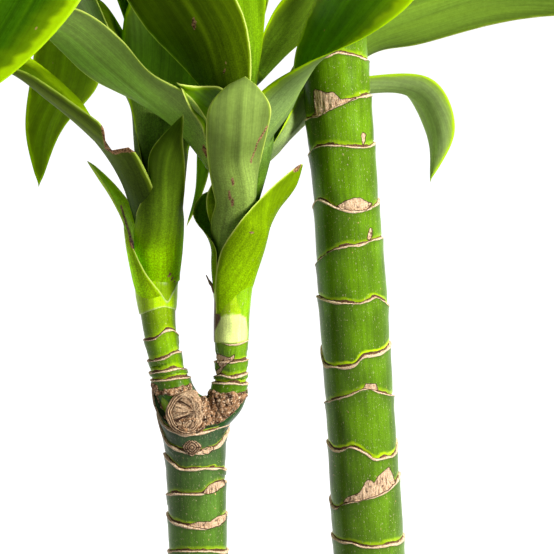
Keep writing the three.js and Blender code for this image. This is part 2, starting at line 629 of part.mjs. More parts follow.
const SEEN_LEAVES = {
  left_leaf_01: {
    ...broad, stem: 'left', node: 512, toward: 130, sheath: 7, wrap: [168, 165], hug: 9.3, flare: 0.26,
    blade: [[-86, 11, 538], [-90, 21, 557], [-98, 17, 574], [-113, 22, 595]],
    width: [[0.35, 22], [0.6, 12], [0.85, 8], [1, 2]], curl: [[0.3, 70], [0.5, 40], [0.8, 50], [1, 35]],
    roll: [[0, -10], [0.3, 25], [0.6, 30], [1, 40]], wave: [0.5, 1, 0.2],
  },
  left_leaf_02: {
    ...broad, stem: 'left', node: 529, toward: -90, sheath: 20, wrap: [130, 125], hug: 11.3, flare: 0.1,
    blade: [[-69, -30, 564], [-67, -37, 592], [-62, -42, 608], [-55, -31, 623]],
    width: [[0.45, 16], [0.7, 12], [0.9, 4], [1, 1]], curl: [[0.45, 75], [0.7, 65], [1, 45]],
    roll: [[0, -5], [0.4, 20], [0.7, -10], [1, -65]], wave: [0.6, 1, 0.5],
  },
  left_leaf_03: {
    ...plain, stem: 'left', node: 541, toward: 185, sheath: 22, wrap: [105, 100], hug: 10.9,
    blade: [[-90, -12, 585], [-97, -17, 599], [-111, -28, 615], [-134, -17, 633], [-151, -17, 646],
      [-176, -21, 655], [-194, -24, 660]],
    width: [[0.3, 23.5], [0.55, 22.5], [0.8, 15], [1, 2]], curl: [[0.2, 70], [0.45, 60], [0.8, 60], [1, 35]],
    roll: [[0, 0], [0.35, 15], [0.7, -10], [1, -20]], wave: [1, 2, 0.1],
  },
  left_leaf_04: {
    ...plain, stem: 'left', node: 553, toward: 150, sheath: 20, wrap: [100, 90], hug: 10.3,
    blade: [[-86, 22, 602], [-89, 32, 626], [-101, 22, 650], [-106, -7, 674], [-126, 33, 699],
      [-147, 43, 719], [-175, 52, 732], [-200, 61, 731]],
    width: [[0.25, 20], [0.5, 22], [0.75, 18.5], [1, 1.5]], curl: [[0.25, 40], [0.5, 15], [1, 5]],
    roll: [[0, 0], [0.4, 20], [1, 45]], wave: [1.5, 2, 0.6],
  },
  left_leaf_05: {
    ...plain, stem: 'left', node: 577, toward: 160, sheath: 18, wrap: [90, 80], hug: 9.2,
    blade: [[-83, 12, 632], [-94, 29, 657], [-107, 49, 673], [-123, 56, 668], [-136, 66, 640],
      [-145, 70, 606], [-147, 72, 578]],
    width: [[0.25, 19], [0.55, 24], [0.75, 19.5], [0.9, 9.5], [1, 1]], curl: [[0.25, 50], [0.5, 15], [1, 15]],
    roll: [[0, 0], [0.4, 5], [0.7, -30], [1, -5]], wave: [1, 1.5, 0.3],
  },
  left_leaf_06: {
    ...plain, stem: 'left', node: 565, toward: -35, sheath: 18, wrap: [95, 85], hug: 9.7,
    blade: [[-67, -4, 610], [-63, 2, 630], [-65, 5, 653], [-70, 6, 677], [-75, 3, 700]],
    width: [[0.4, 18], [0.65, 16], [0.85, 10], [1, 1.5]], curl: [[0.3, 70], [0.55, 45], [1, 30]],
    roll: [[0, 0], [0.4, -75], [1, -70]], wave: [1.5, 2.5, 0],
  },
  left_leaf_07: {
    ...plain, stem: 'left', node: 601, toward: -115, sheath: 16, wrap: [90, 70], hug: 8,
    blade: [[-78, -3, 655], [-88, -14, 695], [-104, -44, 727], [-121, -80, 730], [-132, -112, 695],
      [-150, -129, 650], [-170, -138, 615]],
    width: [[0.25, 19], [0.55, 24], [0.8, 20], [0.93, 11], [1, 1.5]], curl: [[0.25, 50], [0.5, 25], [1, 15]],
    roll: [[0, 10], [0.4, 0], [0.7, -20], [1, -15]], wave: [1.5, 2, 0.4],
  },
  right_leaf_01: {
    ...broad, stem: 'right', node: 511, toward: 58, sheath: 34, wrap: [170, 168], hug: 8.8, flare: 0.135,
    blade: [[-22, 4, 551], [-17, 3, 565], [-1, -3, 578], [7, 5, 594]],
    width: [[0.55, 37], [0.75, 17.5], [0.9, 9], [1, 2]], curl: [[0.55, 95], [0.8, 75], [1, 40]],
    roll: [[0, -5], [0.35, 0], [0.7, -35], [1, -55]], wave: [0.4, 1, 0.7],
  },
  right_leaf_02: {
    ...broad, stem: 'right', node: 529, toward: -85, sheath: 22, wrap: [115, 105], hug: 8.5,
    blade: [[-24, -49, 577], [-28, -55, 598], [-26, -67, 620], [-26, -55, 635], [-25, -50, 641]],
    width: [[0.45, 16], [0.6, 14], [0.8, 15.5], [0.93, 11], [1, 4.5]], curl: [[0.45, 80], [0.7, 45], [1, 30]],
    roll: [[0, 10], [0.4, 20], [0.7, 15], [1, -10]], wave: [0.8, 1.5, 0.3],
  },
  right_leaf_03: {
    ...plain, stem: 'right', node: 541, toward: -150, sheath: 14, wrap: [85, 60], hug: 8.2,
    blade: [[-36, -44, 606], [-41, -41, 627], [-49, -33, 631], [-57, -38, 641]],
    width: [[0.4, 6.5], [0.7, 11], [0.88, 6], [1, 1]], curl: [[0.4, 35], [0.7, 15], [1, 15]],
    roll: [[0, 5], [0.35, 105], [0.6, 245], [1, 235]], wave: [0.4, 1, 0],
  },
  right_leaf_04: {
    ...plain, stem: 'right', node: 553, toward: 188, sheath: 22, wrap: [105, 95], hug: 7.8,
    blade: [[-42, -14, 594], [-57, -17, 614], [-76, -19, 633], [-98, -21, 654], [-117, -31, 668],
      [-140, -42, 677], [-170, -50, 679]],
    width: [[0.3, 24.5], [0.5, 22], [0.7, 21], [0.85, 13], [1, 1.5]], curl: [[0.3, 25], [0.5, 10], [1, 10]],
    roll: [[0, 0], [0.35, 15], [0.7, 30], [1, -25]], wave: [1, 2, 0.8],
  },
  right_leaf_05: {
    ...plain, stem: 'right', node: 565, toward: -12, sheath: 22, wrap: [105, 95], hug: 7.4,
    blade: [[-18, -41, 602], [-6, -39, 618], [8, -42, 638], [17, -44, 655], [34, -43, 675], [50, -50, 701],
      [61, -57, 731], [69, -62, 757]],
    width: [[0.25, 24], [0.5, 23.5], [0.7, 25], [0.88, 14], [1, 2]],
    curl: [[0.25, 60], [0.5, 45], [0.8, 10], [1, 15]],
    roll: [[0, -15], [0.3, -25], [0.6, 50], [1, 115]], wave: [1, 1.5, 0.5],
  },
  right_leaf_06: {
    ...plain, stem: 'right', node: 582, toward: 52, sheath: 16, wrap: [95, 80], hug: 6.9,
    blade: [[-14, 10, 592], [2, 29, 607], [15, 51, 624], [34, 55, 632], [59, 51, 633], [74, 56, 629],
      [83, 54, 609], [81, 49, 582]],
    width: [[0.2, 20], [0.45, 14.5], [0.62, 14], [0.8, 18.5], [0.92, 9], [1, 1.5]],
    curl: [[0.2, 5], [0.45, 50], [0.8, 60], [1, 40]],
    roll: [[0, 0], [0.3, -20], [0.5, -60], [0.7, -15], [0.85, -35], [1, -10]], wave: [1, 2, 0.2],
  },
  right_leaf_07: {
    ...plain, stem: 'right', node: 595, toward: 62, sheath: 16, wrap: [90, 70], hug: 6.5,
    blade: [[-13, 22, 593], [9, 57, 627], [29, 66, 653], [55, 68, 672], [89, 80, 681], [128, 83, 692],
      [165, 88, 691], [207, 90, 680]],
    width: [[0.2, 20.5], [0.45, 22.5], [0.7, 21], [0.88, 13.5], [1, 2]],
    curl: [[0.2, 45], [0.45, 35], [1, 5]],
    roll: [[0, 0], [0.3, -50], [0.6, -75], [1, -80]], wave: [1, 1.5, 0.9],
  },
  right_leaf_08: {
    ...plain, stem: 'right', node: 601, toward: -125, sheath: 16, wrap: [85, 70], hug: 6.1,
    blade: [[-34, -24, 616], [-40, -30, 645], [-48, -28, 668], [-65, -40, 693], [-75, -57, 718],
      [-86, -75, 740], [-99, -95, 752]],
    width: [[0.25, 20], [0.45, 27], [0.75, 23], [0.9, 12], [1, 2]], curl: [[0.25, 50], [0.5, 10], [1, 5]],
    roll: [[0, 0], [0.3, 50], [0.6, 60], [1, 30]], wave: [1.2, 2.5, 0.35],
  },
  right_leaf_09: {
    ...plain, stem: 'right', node: 613, toward: -60, sheath: 16, wrap: [85, 70], hug: 5.7,
    blade: [[-22, -25, 637], [-23, -22, 658], [-25, -22, 682], [-26, -28, 707], [-28, -39, 732],
      [-30, -50, 753]],
    width: [[0.3, 17], [0.55, 19], [0.8, 14], [1, 1.5]], curl: [[0.3, 55], [0.55, 35], [1, 20]],
    roll: [[0, 0], [0.5, 10], [1, 10]], wave: [1.5, 2, 0.65],
  },
  right_leaf_10: {
    ...plain, stem: 'right', node: 625, toward: 20, sheath: 12, wrap: [85, 70], hug: 5.2,
    blade: [[-12, 8, 643], [1, -3, 660], [15, -8, 674], [26, -8, 693], [47, -10, 710], [69, -16, 719]],
    width: [[0.3, 15.5], [0.55, 18.5], [0.8, 14], [1, 1.5]], curl: [[0.3, 10], [0.55, 10], [1, 5]],
    roll: [[0, 0], [0.5, -10], [1, 0]], wave: [1.5, 2, 0.15],
  },
  right_leaf_11: {
    ...plain, stem: 'right', node: 637, toward: 115, sheath: 12, wrap: [80, 60], hug: 4.8,
    blade: [[-28, 19, 650], [-36, 34, 663], [-42, 54, 652], [-51, 64, 620], [-53, 68, 585], [-55, 64, 563],
      [-60, 68, 555]],
    width: [[0.3, 12.5], [0.6, 9.5], [0.8, 8], [1, 1]], curl: [[0.3, 35], [0.6, 20], [1, 20]],
    roll: [[0, 0], [0.5, 50], [1, 50]], wave: [0.6, 1.5, 0.5],
  },
};

// ---- The crown leaves above the photo's edge ---------------------------------------------------

// They grow by rule: each takes the next bearing, the inner ones stand steeper and tighter round
// their stem, and every blade is an arc that sinks towards its tip.
const SPIRAL = 137.5;
const SPIRAL_BEARINGS = Array.from({ length: 17 }, (_, k) => 20 + SPIRAL * k);
const CROWN_ROWS = [0, 4, 9, 16, 25, 36, 48, 60];
const CROWNS = [
  {
    stem: 'left', leaves: 3, first: 613, spacing: 11, bearings: [60, 150, 105], length: 250, width: 20,
    outer: 62, inner: 80, hug: 7.2, hugStep: 0.65,
  },
  {
    stem: 'right', leaves: 3, first: 649, spacing: 10, bearings: [95, 225, 0], length: 230, width: 19,
    outer: 66, inner: 80, hug: 4.6, hugStep: 0.5,
  },
  {
    stem: 'tall', leaves: 17, first: 801, spacing: 6, bearings: SPIRAL_BEARINGS, length: 350, width: 24,
    outer: 22, inner: 80, hug: 18.4, hugStep: 0.99,
  },
];
const CROWN_SHEATH = 14;
const CROWN_STEPS = 6;

function mulberry32(seed) {
  let state = seed;
  return () => {
    state = (state + 0x6d2b79f5) | 0;
    let t = Math.imul(state ^ (state >>> 15), 1 | state);
    t = (t + Math.imul(t ^ (t >>> 7), 61 | t)) ^ t;
    return ((t ^ (t >>> 14)) >>> 0) / 4294967296;
  };
}

function crownLeaf(crown, k, random) {
  const share = crown.leaves > 1 ? k / (crown.leaves - 1) : 0;
  const node = crown.first + crown.spacing * k;
  const toward = crown.bearings[k] + 14 * (random() - 0.5);
  const length = crown.length * (1 - 0.28 * share) * (0.94 + 0.12 * random());
  const rise = lerp(crown.outer, crown.inner, share) + 5 * random();
  const sink = lerp(105, 26, share) + 14 * (random() - 0.5);
  const sweep = 22 * (random() - 0.5);
  const sheath = CROWN_SHEATH;
  const steps = CROWN_STEPS;
  const hug = crown.hug - crown.hugStep * k;
  const start = axisAt(STEMS[crown.stem].axis, node + sheath);
  const blade = [];
  let out = hug + SHEATH_FLARE * sheath;
  let height = start.z;
  for (let i = 1; i <= steps; i += 1) {
    const slope = radians(i === 1 ? 82 : rise - (sink * (i - 2)) / (steps - 2));
    out += (length / steps) * Math.cos(slope);
    height += (length / steps) * Math.sin(slope);
    const bearing = radians(toward + (sweep * i * i) / (steps * steps));
    blade.push([start.x + out * Math.cos(bearing), start.y + out * Math.sin(bearing), height]);
  }
  const clasp = Math.min(110, THREE.MathUtils.radToDeg(0.85 * crown.width / hug));
  return {
    rows: CROWN_ROWS, columns: 4, stem: crown.stem, node, toward, sheath, wrap: [clasp, 0.88 * clasp],
    hug, blade,
    width: [
      [0.22, 0.8 * crown.width], [0.5, crown.width], [0.78, 0.72 * crown.width], [0.92, 0.36 * crown.width],
      [1, 1.5],
    ],
    curl: [[0.22, 42], [0.5, 22], [1, 14]],
    roll: [[0, 0], [0.5, 16 * (random() - 0.5)], [1, 40 * (random() - 0.5)]],
    wave: [2.5, 1.5 + random(), random()],
  };
}

function crownLeaves() {
  const random = mulberry32(7);
  return CROWNS.flatMap((crown) => Array.from({ length: crown.leaves }, (_, k) => {
    const number = k + 1 + Object.keys(SEEN_LEAVES).filter((name) => name.startsWith(crown.stem)).length;
    return [`${crown.stem}_leaf_${String(number).padStart(2, '0')}`, crownLeaf(crown, k, random)];
  }));
}

// ---- Hearts ----------------------------------------------------------------------------------

function heart({ axis, girth, tip }) {
  return loft(girth.map(([z, r]) => Array.from({ length: 8 }, (_, k) => {
    const middle = axisAt(axis, z);
    const turn = (Math.PI * k) / 4 + (tip - z) / 60;
    return new THREE.Vector3(middle.x + r * Math.cos(turn), middle.y + r * Math.sin(turn), z);
  })));
}

// ---- The plant -------------------------------------------------------------------------------

const plant = new THREE.Group();
function add(name, geometry, material) {
  const mesh = new THREE.Mesh(geometry, material);
  mesh.name = name;
  plant.add(mesh);
}

add('pot', pot(), paint.pot());
add('potting_soil', pottingSoil(), paint.soil());
add('tall_cane', cane(TALL_AXIS, TALL_RADIUS, TALL_SCARS, CANE_SIDES), paint.cane());
add('forked_cane', forkedCane(), paint.cane());
add('left_heart', heart(STEMS.left), paint.heart());
add('right_heart', heart(STEMS.right), paint.heart());
add('tall_heart', heart(STEMS.tall), paint.heart());

const sheets = [...Object.entries(SEEN_LEAVES), ...crownLeaves()].map(([name, leaf]) => sheetOf(name, leaf));
settle(sheets);
sheets.forEach((sheet) => add(sheet.name, blade(sheet), paint.leaf()));

export default plant;
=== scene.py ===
"""The looks of a potted corn plant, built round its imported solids. Metres, the row's own frame.

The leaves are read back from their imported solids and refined, so they keep their form. The canes,
the fork with its sawn stub, the soil and the pot are modelled again in finer meshes where their
solids stand. Places on the canes that come from the photograph are pixels of its 554 x 554 frame,
which the scene's own camera carries onto the surface of the cane.
"""

import math

import bmesh
import bpy
import numpy as np
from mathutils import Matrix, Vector


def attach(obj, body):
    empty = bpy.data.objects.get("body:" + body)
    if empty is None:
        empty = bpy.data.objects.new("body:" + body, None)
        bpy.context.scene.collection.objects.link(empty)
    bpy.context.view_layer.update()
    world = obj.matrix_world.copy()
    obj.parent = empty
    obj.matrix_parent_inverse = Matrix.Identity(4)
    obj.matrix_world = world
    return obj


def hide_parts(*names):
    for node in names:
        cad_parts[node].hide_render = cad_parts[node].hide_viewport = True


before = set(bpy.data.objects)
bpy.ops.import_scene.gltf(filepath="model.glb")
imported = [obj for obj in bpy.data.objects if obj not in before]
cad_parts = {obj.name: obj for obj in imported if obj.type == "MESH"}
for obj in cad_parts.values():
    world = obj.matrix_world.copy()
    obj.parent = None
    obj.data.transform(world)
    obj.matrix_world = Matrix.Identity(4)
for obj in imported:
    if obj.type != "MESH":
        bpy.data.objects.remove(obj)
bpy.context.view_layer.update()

MM = 0.001

# ---- The photograph's camera -------------------------------------------------------------------

PHOTO_SIDE = 554
PIXEL = 0.55 * MM
EYE = np.array([-7, -1000, 630]) * MM
AIM = np.array([-7, 0, 532]) * MM
SENSOR = 36

AHEAD = (AIM - EYE) / np.linalg.norm(AIM - EYE)
RIGHT = np.array([1.0, 0.0, 0.0])
UP = np.cross(RIGHT, AHEAD)
FOCAL = np.linalg.norm(AIM - EYE) / PIXEL


def ray_through(px, py):
    """The direction from the eye through a pixel of the photograph."""
    middle = PHOTO_SIDE / 2
    return AHEAD + RIGHT * ((px - middle) / FOCAL) + UP * ((middle - py) / FOCAL)


def pixels_of(points):
    """Where points in metres lie in the photograph, in pixels."""
    offset = points - EYE
    depth = offset @ AHEAD
    across = PHOTO_SIDE / 2 + FOCAL * (offset @ RIGHT) / depth
    down = PHOTO_SIDE / 2 - FOCAL * (offset @ UP) / depth
    return np.stack([across, down], -1)


# ---- Numbers ------------------------------------------------------------------------------------


def smoothstep(value, low, high):
    """0 up to low, 1 from high on, smooth between."""
    share = np.clip((np.asarray(value, float) - low) / (high - low), 0, 1)
    return share * share * (3 - 2 * share)


def linear(rgb):
    """A colour of 0 to 255 as the photograph shows it, in the linear numbers of a shader."""
    share = np.asarray(rgb, float) / 255
    return np.where(share <= 0.04045, share / 12.92, ((share + 0.055) / 1.055) ** 2.4)


def spline(values, knots, places):
    """A smooth curve through values at knots, read at places. A value may be a number or an array."""
    values = np.asarray(values, float)
    knots = np.asarray(knots, float)
    places = np.clip(np.asarray(places, float), knots[0], knots[-1])
    wide = (slice(None),) + (None,) * (values.ndim - 1)
    gaps = np.diff(knots)[wide]
    slopes = np.diff(values, axis=0) / gaps
    inner = (slopes[:-1] * gaps[1:] + slopes[1:] * gaps[:-1]) / (gaps[:-1] + gaps[1:])
    tangents = np.concatenate([slopes[:1], inner, slopes[-1:]])
    index = np.clip(np.searchsorted(knots, places, "right") - 1, 0, len(knots) - 2)
    t = ((places - knots[index]) / np.diff(knots)[index])[wide]
    gap = gaps[index]
    return (
        (1 + 2 * t) * (1 - t) ** 2 * values[index]
        + t * (1 - t) ** 2 * gap * tangents[index]
        + t * t * (3 - 2 * t) * values[index + 1]
        + t * t * (t - 1) * gap * tangents[index + 1]
    )


def scattered(cells, seed):
    """A number from 0 to 1 for each whole-number cell, the same on each run."""
    mixed = cells[..., 0] * 73856093 ^ cells[..., 1] * 19349663 ^ cells[..., 2] * 83492791
    mixed = (mixed ^ (seed * 40503 + 977)) & 0xFFFFFFFF
    mixed = ((mixed ^ (mixed >> 15)) * 2246822519) & 0xFFFFFFFF
    mixed = ((mixed ^ (mixed >> 13)) * 3266489917) & 0xFFFFFFFF
    return ((mixed ^ (mixed >> 16)) & 0xFFFF) / 65535


def bumps(points, size, seed=0):
    """Smooth noise from -1 to 1, with lumps about as large as size."""
    scaled = np.asarray(points, float) / size
    cell = np.floor(scaled).astype(np.int64)
    part = scaled - cell
    part = part * part * (3 - 2 * part)
    total = 0
    for corner in np.ndindex(2, 2, 2):
        corner = np.array(corner)
        weight = np.prod(np.where(corner, part, 1 - part), axis=-1)
        total = total + weight * scattered(cell + corner, seed)
    return 2 * total - 1


def gap_to_line(places, start, end):
    """How far places lie from the line between two ends."""
    edge = end - start
    share = np.clip(((places - start) @ edge) / (edge @ edge), 0, 1)
    return np.linalg.norm(places - start - share[:, None] * edge, axis=1)


def inside(polygon, places):
    """How far places lie inside a polygon, in its own unit; outside, the number is negative."""
    polygon = np.asarray(polygon, float)
    ends = np.roll(polygon, -1, axis=0)
    nearest = np.full(len(places), np.inf)
    within = np.zeros(len(places), bool)
    for start, end in zip(polygon, ends):
        edge = end - start
        nearest = np.minimum(nearest, gap_to_line(places, start, end))
        crosses = (start[1] > places[:, 1]) != (end[1] > places[:, 1])
        rise = edge[1] if edge[1] else 1e-9
        beyond = places[:, 0] < start[0] + (places[:, 1] - start[1]) * edge[0] / rise
        within ^= crosses & beyond
    return np.where(within, nearest, -nearest)


def unit(vector):
    return np.asarray(vector, float) / np.linalg.norm(vector)


def radians_round(columns):
    """Evenly spaced angles round a full turn."""
    return np.arange(columns) * 2 * math.pi / columns


# ---- Meshes -------------------------------------------------------------------------------------


def piece_of(name, points, faces, marks, materials, face_material=None):
    """A smooth mesh object with a number or a vector for each point under each mark's name."""
    mesh = bpy.data.meshes.new(name)
    mesh.from_pydata(points.tolist(), [], faces)
    for mark, values in marks.items():
        values = np.asarray(values, float)
        kind = "FLOAT" if values.ndim == 1 else "FLOAT_VECTOR"
        layer = mesh.attributes.new(mark, kind, "POINT")
        layer.data.foreach_set("value" if kind == "FLOAT" else "vector", values.ravel())
    for material in materials:
        mesh.materials.append(material)
    if face_material is not None:
        mesh.polygons.foreach_set("material_index", np.asarray(face_material, np.int32))
    mesh.shade_smooth()
    mesh.update()
    piece = bpy.data.objects.new(name, mesh)
    bpy.context.collection.objects.link(piece)
    return piece


def grid_faces(rows, columns, start=0, closed=False):
    """Quads between neighbouring points of a grid. A closed grid joins its last column to its first."""
    i = np.arange(rows - 1)[:, None]
    j = np.arange(columns if closed else columns - 1)[None, :]
    after = (j + 1) % columns
    corners = [i * columns + j, i * columns + after, (i + 1) * columns + after, (i + 1) * columns + j]
    return np.stack([np.broadcast_to(c, (rows - 1, j.size)) for c in corners], -1).reshape(-1, 4) + start


def closed_tube(grid):
    """Points and faces of a body through rings of points that turn anticlockwise from above."""
    rows, columns = grid.shape[:2]
    points = np.concatenate([grid.reshape(-1, 3), [grid[0].mean(0)], [grid[-1].mean(0)]])
    faces = grid_faces(rows, columns, closed=True).tolist()
    last = (rows - 1) * columns
    for k in range(columns):
        after = (k + 1) % columns
        faces.append([rows * columns, after, k])
        faces.append([rows * columns + 1, last + k, last + after])
    return points, faces


def with_ends(values):
    """A mark for the ring points of a closed tube and for the middles of its two ends."""
    rows = values.reshape(-1, 3) if values.ndim == 3 else values.ravel()
    return np.concatenate([rows, [values[0].mean(0)], [values[-1].mean(0)]])


def tube_piece(name, grid, marks, material):
    """A closed tube from a grid of points in millimetres, with marks for each point of the grid."""
    points, faces = closed_tube(grid * MM)
    marks = {mark: with_ends(values) for mark, values in marks.items()}
    return piece_of(name, points, faces, marks, [material])


def backed(values):
    """A mark for a disc's rings with its last ring repeated for the back, the back first."""
    return np.concatenate([values, values[-1:]])[::-1]


def finish_piece(piece, slot, *nodes):
    """A piece rides on the plant's one body, and may replace nodes of the frame. The slot is not used."""
    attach(piece, "root")
    if nodes:
        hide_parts(*nodes)
    return piece


# ---- Materials ----------------------------------------------------------------------------------


class Paint:
    """A material under construction. Its methods add nodes and return their sockets."""

    def __init__(self, name):
        self.material = bpy.data.materials.new(name)
        self.material.use_nodes = True
        self.tree = self.material.node_tree
        self.tree.nodes.clear()

    def plug(self, socket, value):
        if isinstance(value, bpy.types.NodeSocket):
            self.tree.links.new(value, socket)
        elif isinstance(value, (tuple, list, np.ndarray)):
            socket.default_value = [*value, 1][: len(socket.default_value)]
        else:
            socket.default_value = value

    def mark(self, name, output="Fac"):
        node = self.tree.nodes.new("ShaderNodeAttribute")
        node.attribute_name = name
        return node.outputs[output]

    def place(self):
        return self.tree.nodes.new("ShaderNodeTexCoord").outputs["Object"]

    def fold(self, operation, result, *values):
        """A number worked with one value after another."""
        for value in values:
            node = self.tree.nodes.new("ShaderNodeMath")
            node.operation = operation
            self.plug(node.inputs[0], result)
            self.plug(node.inputs[1], value)
            result = node.outputs[0]
        return result

    def plus(self, *values):
        return self.fold("ADD", *values)

    def minus(self, first, second):
        return self.fold("SUBTRACT", first, second)

    def times(self, *values):
        return self.fold("MULTIPLY", *values)

    def largest(self, *values):
        return self.fold("MAXIMUM", *values)

    def join(self, x=0, y=0, z=0):
        node = self.tree.nodes.new("ShaderNodeCombineXYZ")
        for socket, value in zip(node.inputs, (x, y, z)):
            self.plug(socket, value)
        return node.outputs[0]

    def stretch(self, vector, scale):
        node = self.tree.nodes.new("ShaderNodeVectorMath")
        node.operation = "MULTIPLY"
        self.plug(node.inputs[0], vector)
        node.inputs[1].default_value = scale
        return node.outputs[0]

    def noise(self, vector, scale, detail=2, roughness=0.5):
        node = self.tree.nodes.new("ShaderNodeTexNoise")
        self.plug(node.inputs["Vector"], vector)
        node.inputs["Scale"].default_value = scale
        node.inputs["Detail"].default_value = detail
        node.inputs["Roughness"].default_value = roughness
        return node.outputs["Fac"]

    def cells(self, vector, scale, output="Distance"):
        node = self.tree.nodes.new("ShaderNodeTexVoronoi")
        self.plug(node.inputs["Vector"], vector)
        node.inputs["Scale"].default_value = scale
        return node.outputs[output]

    def between(self, value, low, high, start=0, end=1):
        """start where value is low, end where it is high, smooth between."""
        node = self.tree.nodes.new("ShaderNodeMapRange")
        node.interpolation_type = "SMOOTHSTEP"
        for socket, given in zip(node.inputs, (value, low, high, start, end)):
            self.plug(socket, given)
        return node.outputs[0]

    def drawn_out(self, flow, across, along, detail=2, roughness=0.5):
        """Noise with its own lumps to the millimetre across a surface and along it."""
        return self.noise(self.stretch(flow, (across, along, 1)), 1.0, detail, roughness)

    def vary(self, noise, low=0, high=1):
        """Noise spread out between two numbers."""
        return self.between(noise, 0.3, 0.7, low, high)

    def waver(self, noise, size):
        """Noise about nought, from half of size below it to half above."""
        return self.times(self.minus(noise, 0.5), size)

    def mix(self, share, first, second, blend="MIX"):
        node = self.tree.nodes.new("ShaderNodeMix")
        node.data_type = "RGBA"
        node.blend_type = blend
        self.plug(node.inputs[0], share)
        self.plug(node.inputs[6], first)
        self.plug(node.inputs[7], second)
        return node.outputs[2]

    def shade(self, color, factor):
        """A colour times a number."""
        return self.mix(1.0, color, self.join(factor, factor, factor), "MULTIPLY")

    def bump(self, height, distance, strength=1.0):
        node = self.tree.nodes.new("ShaderNodeBump")
        node.inputs["Strength"].default_value = strength
        node.inputs["Distance"].default_value = distance
        self.plug(node.inputs["Height"], height)
        return node.outputs[0]

    def surface(self, color, roughness, normal=None, through=None, **fixed):
        """The finish. through is a colour that shines through a thin leaf, and its share."""
        shader = self.tree.nodes.new("ShaderNodeBsdfPrincipled")
        self.plug(shader.inputs["Base Color"], color)
        self.plug(shader.inputs["Roughness"], roughness)
        if normal is not None:
            self.plug(shader.inputs["Normal"], normal)
        for name, value in fixed.items():
            shader.inputs[name.replace("_", " ")].default_value = value
        result = shader.outputs[0]
        if through is not None:
            light = self.tree.nodes.new("ShaderNodeBsdfTranslucent")
            self.plug(light.inputs["Color"], through[0])
            blend = self.tree.nodes.new("ShaderNodeMixShader")
            blend.inputs[0].default_value = through[1]
            self.tree.links.new(result, blend.inputs[1])
            self.tree.links.new(light.outputs[0], blend.inputs[2])
            result = blend.outputs[0]
        output = self.tree.nodes.new("ShaderNodeOutputMaterial")
        self.tree.links.new(result, output.inputs["Surface"])
        return self.material


LIME = linear((190, 228, 4))
PALE_LIME = linear((216, 230, 110))
TAN = linear((208, 162, 114))
PALE_WOOD = linear((240, 212, 178))
RIM_CREAM_AND_HIGHLIGHT = linear((250, 224, 190))
FIBRE_BROWN = linear((112, 74, 48))
DARK_BROWN = linear((70, 42, 26))
# The cork's dark, middle and pale colours, its pale flecks partly painted highlight, and the colour of its
# pits, partly painted shade.
CORK_COLORS_AND_HIGHLIGHT = (linear((76, 48, 30)), linear((184, 138, 96)), linear((232, 204, 168)))
CORK_PIT_AND_SHADE = linear((38, 24, 14))
SAWN_COLORS = (linear((150, 106, 68)), linear((238, 206, 166)), linear((128, 88, 56)))
SAWN_CRACK = linear((62, 38, 22))
SAWN_GROOVE = linear((58, 36, 22))
COMPOST_COLORS = (linear((34, 24, 18)), linear((92, 66, 46)), linear((170, 150, 128)))
CLAY_COLORS = (linear((176, 96, 62)), linear((204, 124, 86)), linear((222, 164, 128)))
SALT_BLOOM = linear((232, 214, 198))
LIGHT_THROUGH_LEAF = 0.32


def lime_margin(paint, color, flow):
    """A lime band along a leaf's margin, as broad as the mark edge says, and a faint glow inside it."""
    breadth = paint.mark("edge")
    ragged = paint.drawn_out(flow, 0.0, 0.12)
    width = paint.times(breadth, paint.vary(ragged, 0.75, 1.25))
    inward = paint.fold("DIVIDE", paint.minus(paint.mark("margin"), width), breadth)
    color = paint.mix(paint.between(inward, 0.0, 2.2, 0.3, 0.0), color, LIME)
    band = paint.mix(paint.between(breadth, 0.9, 1.8), PALE_LIME, LIME)
    return paint.mix(paint.between(inward, -0.4, 0.3, 1.0, 0.0), color, band)


def dry_spots(paint, color, flow):
    """Tan specks all over a leaf, and scorched places where the mark dry is high."""
    specks = paint.cells(paint.stretch(flow, (0.09, 0.05, 1)), 1.0)
    color = paint.mix(paint.between(specks, 0.03, 0.055, 0.7, 0.0), color, TAN)
    worn = paint.noise(paint.place(), 900, 4, 0.65)
    scorched = paint.between(paint.plus(paint.mark("dry"), paint.waver(worn, 1.0)), 0.42, 0.55)
    return paint.mix(scorched, color, paint.mix(paint.between(worn, 0.35, 0.65), DARK_BROWN, TAN))


def leaf_material(name, roughness, relief, gloss):
    """One face of a leaf: its tint, long veins, mottling, a lime margin and dry brown spots."""
    paint = Paint(name)
    along = paint.mark("along")
    flow = paint.join(paint.mark("across"), along, paint.mark("seed"))
    broad = paint.drawn_out(flow, 0.16, 0.007)
    veins = paint.drawn_out(flow, 1.1, 0.012, 3, 0.6)
    fine = paint.drawn_out(flow, 3.0, 0.02, 1)
    mottle = paint.noise(paint.place(), 420, 3, 0.6)
    grains = paint.noise(paint.place(), 1400, 2, 0.6)
    grained = paint.times(paint.vary(grains, -0.5, 0.5), paint.between(along, 45, 95, 0.6, 0.1))
    light = paint.times(
        paint.plus(paint.between(veins, 0.25, 0.75, 0.86, 1.14), paint.vary(fine, -0.05, 0.05)),
        paint.vary(broad, 0.86, 1.14),
        paint.vary(mottle, 0.93, 1.07),
        # Each face is darker towards its margin: partly the leaf's own darker green and partly painted
        # shade.
        paint.between(paint.mark("margin"), 1.0, 9.0, 0.78, 1.05),
        paint.plus(1.0, grained),
    )
    color = paint.shade(paint.mark("tint", "Vector"), light)
    color = paint.mix(paint.between(broad, 0.45, 0.8, 0.0, 0.1), color, LIME)
    color = lime_margin(paint, color, flow)
    color = dry_spots(paint, color, flow)
    height = paint.plus(paint.times(veins, 0.7), paint.times(fine, 0.3))
    normal = paint.bump(height, relief, 0.6)
    through = (color, LIGHT_THROUGH_LEAF)
    return paint.surface(color, paint.vary(mottle, *roughness), normal, through, Specular_IOR_Level=gloss)


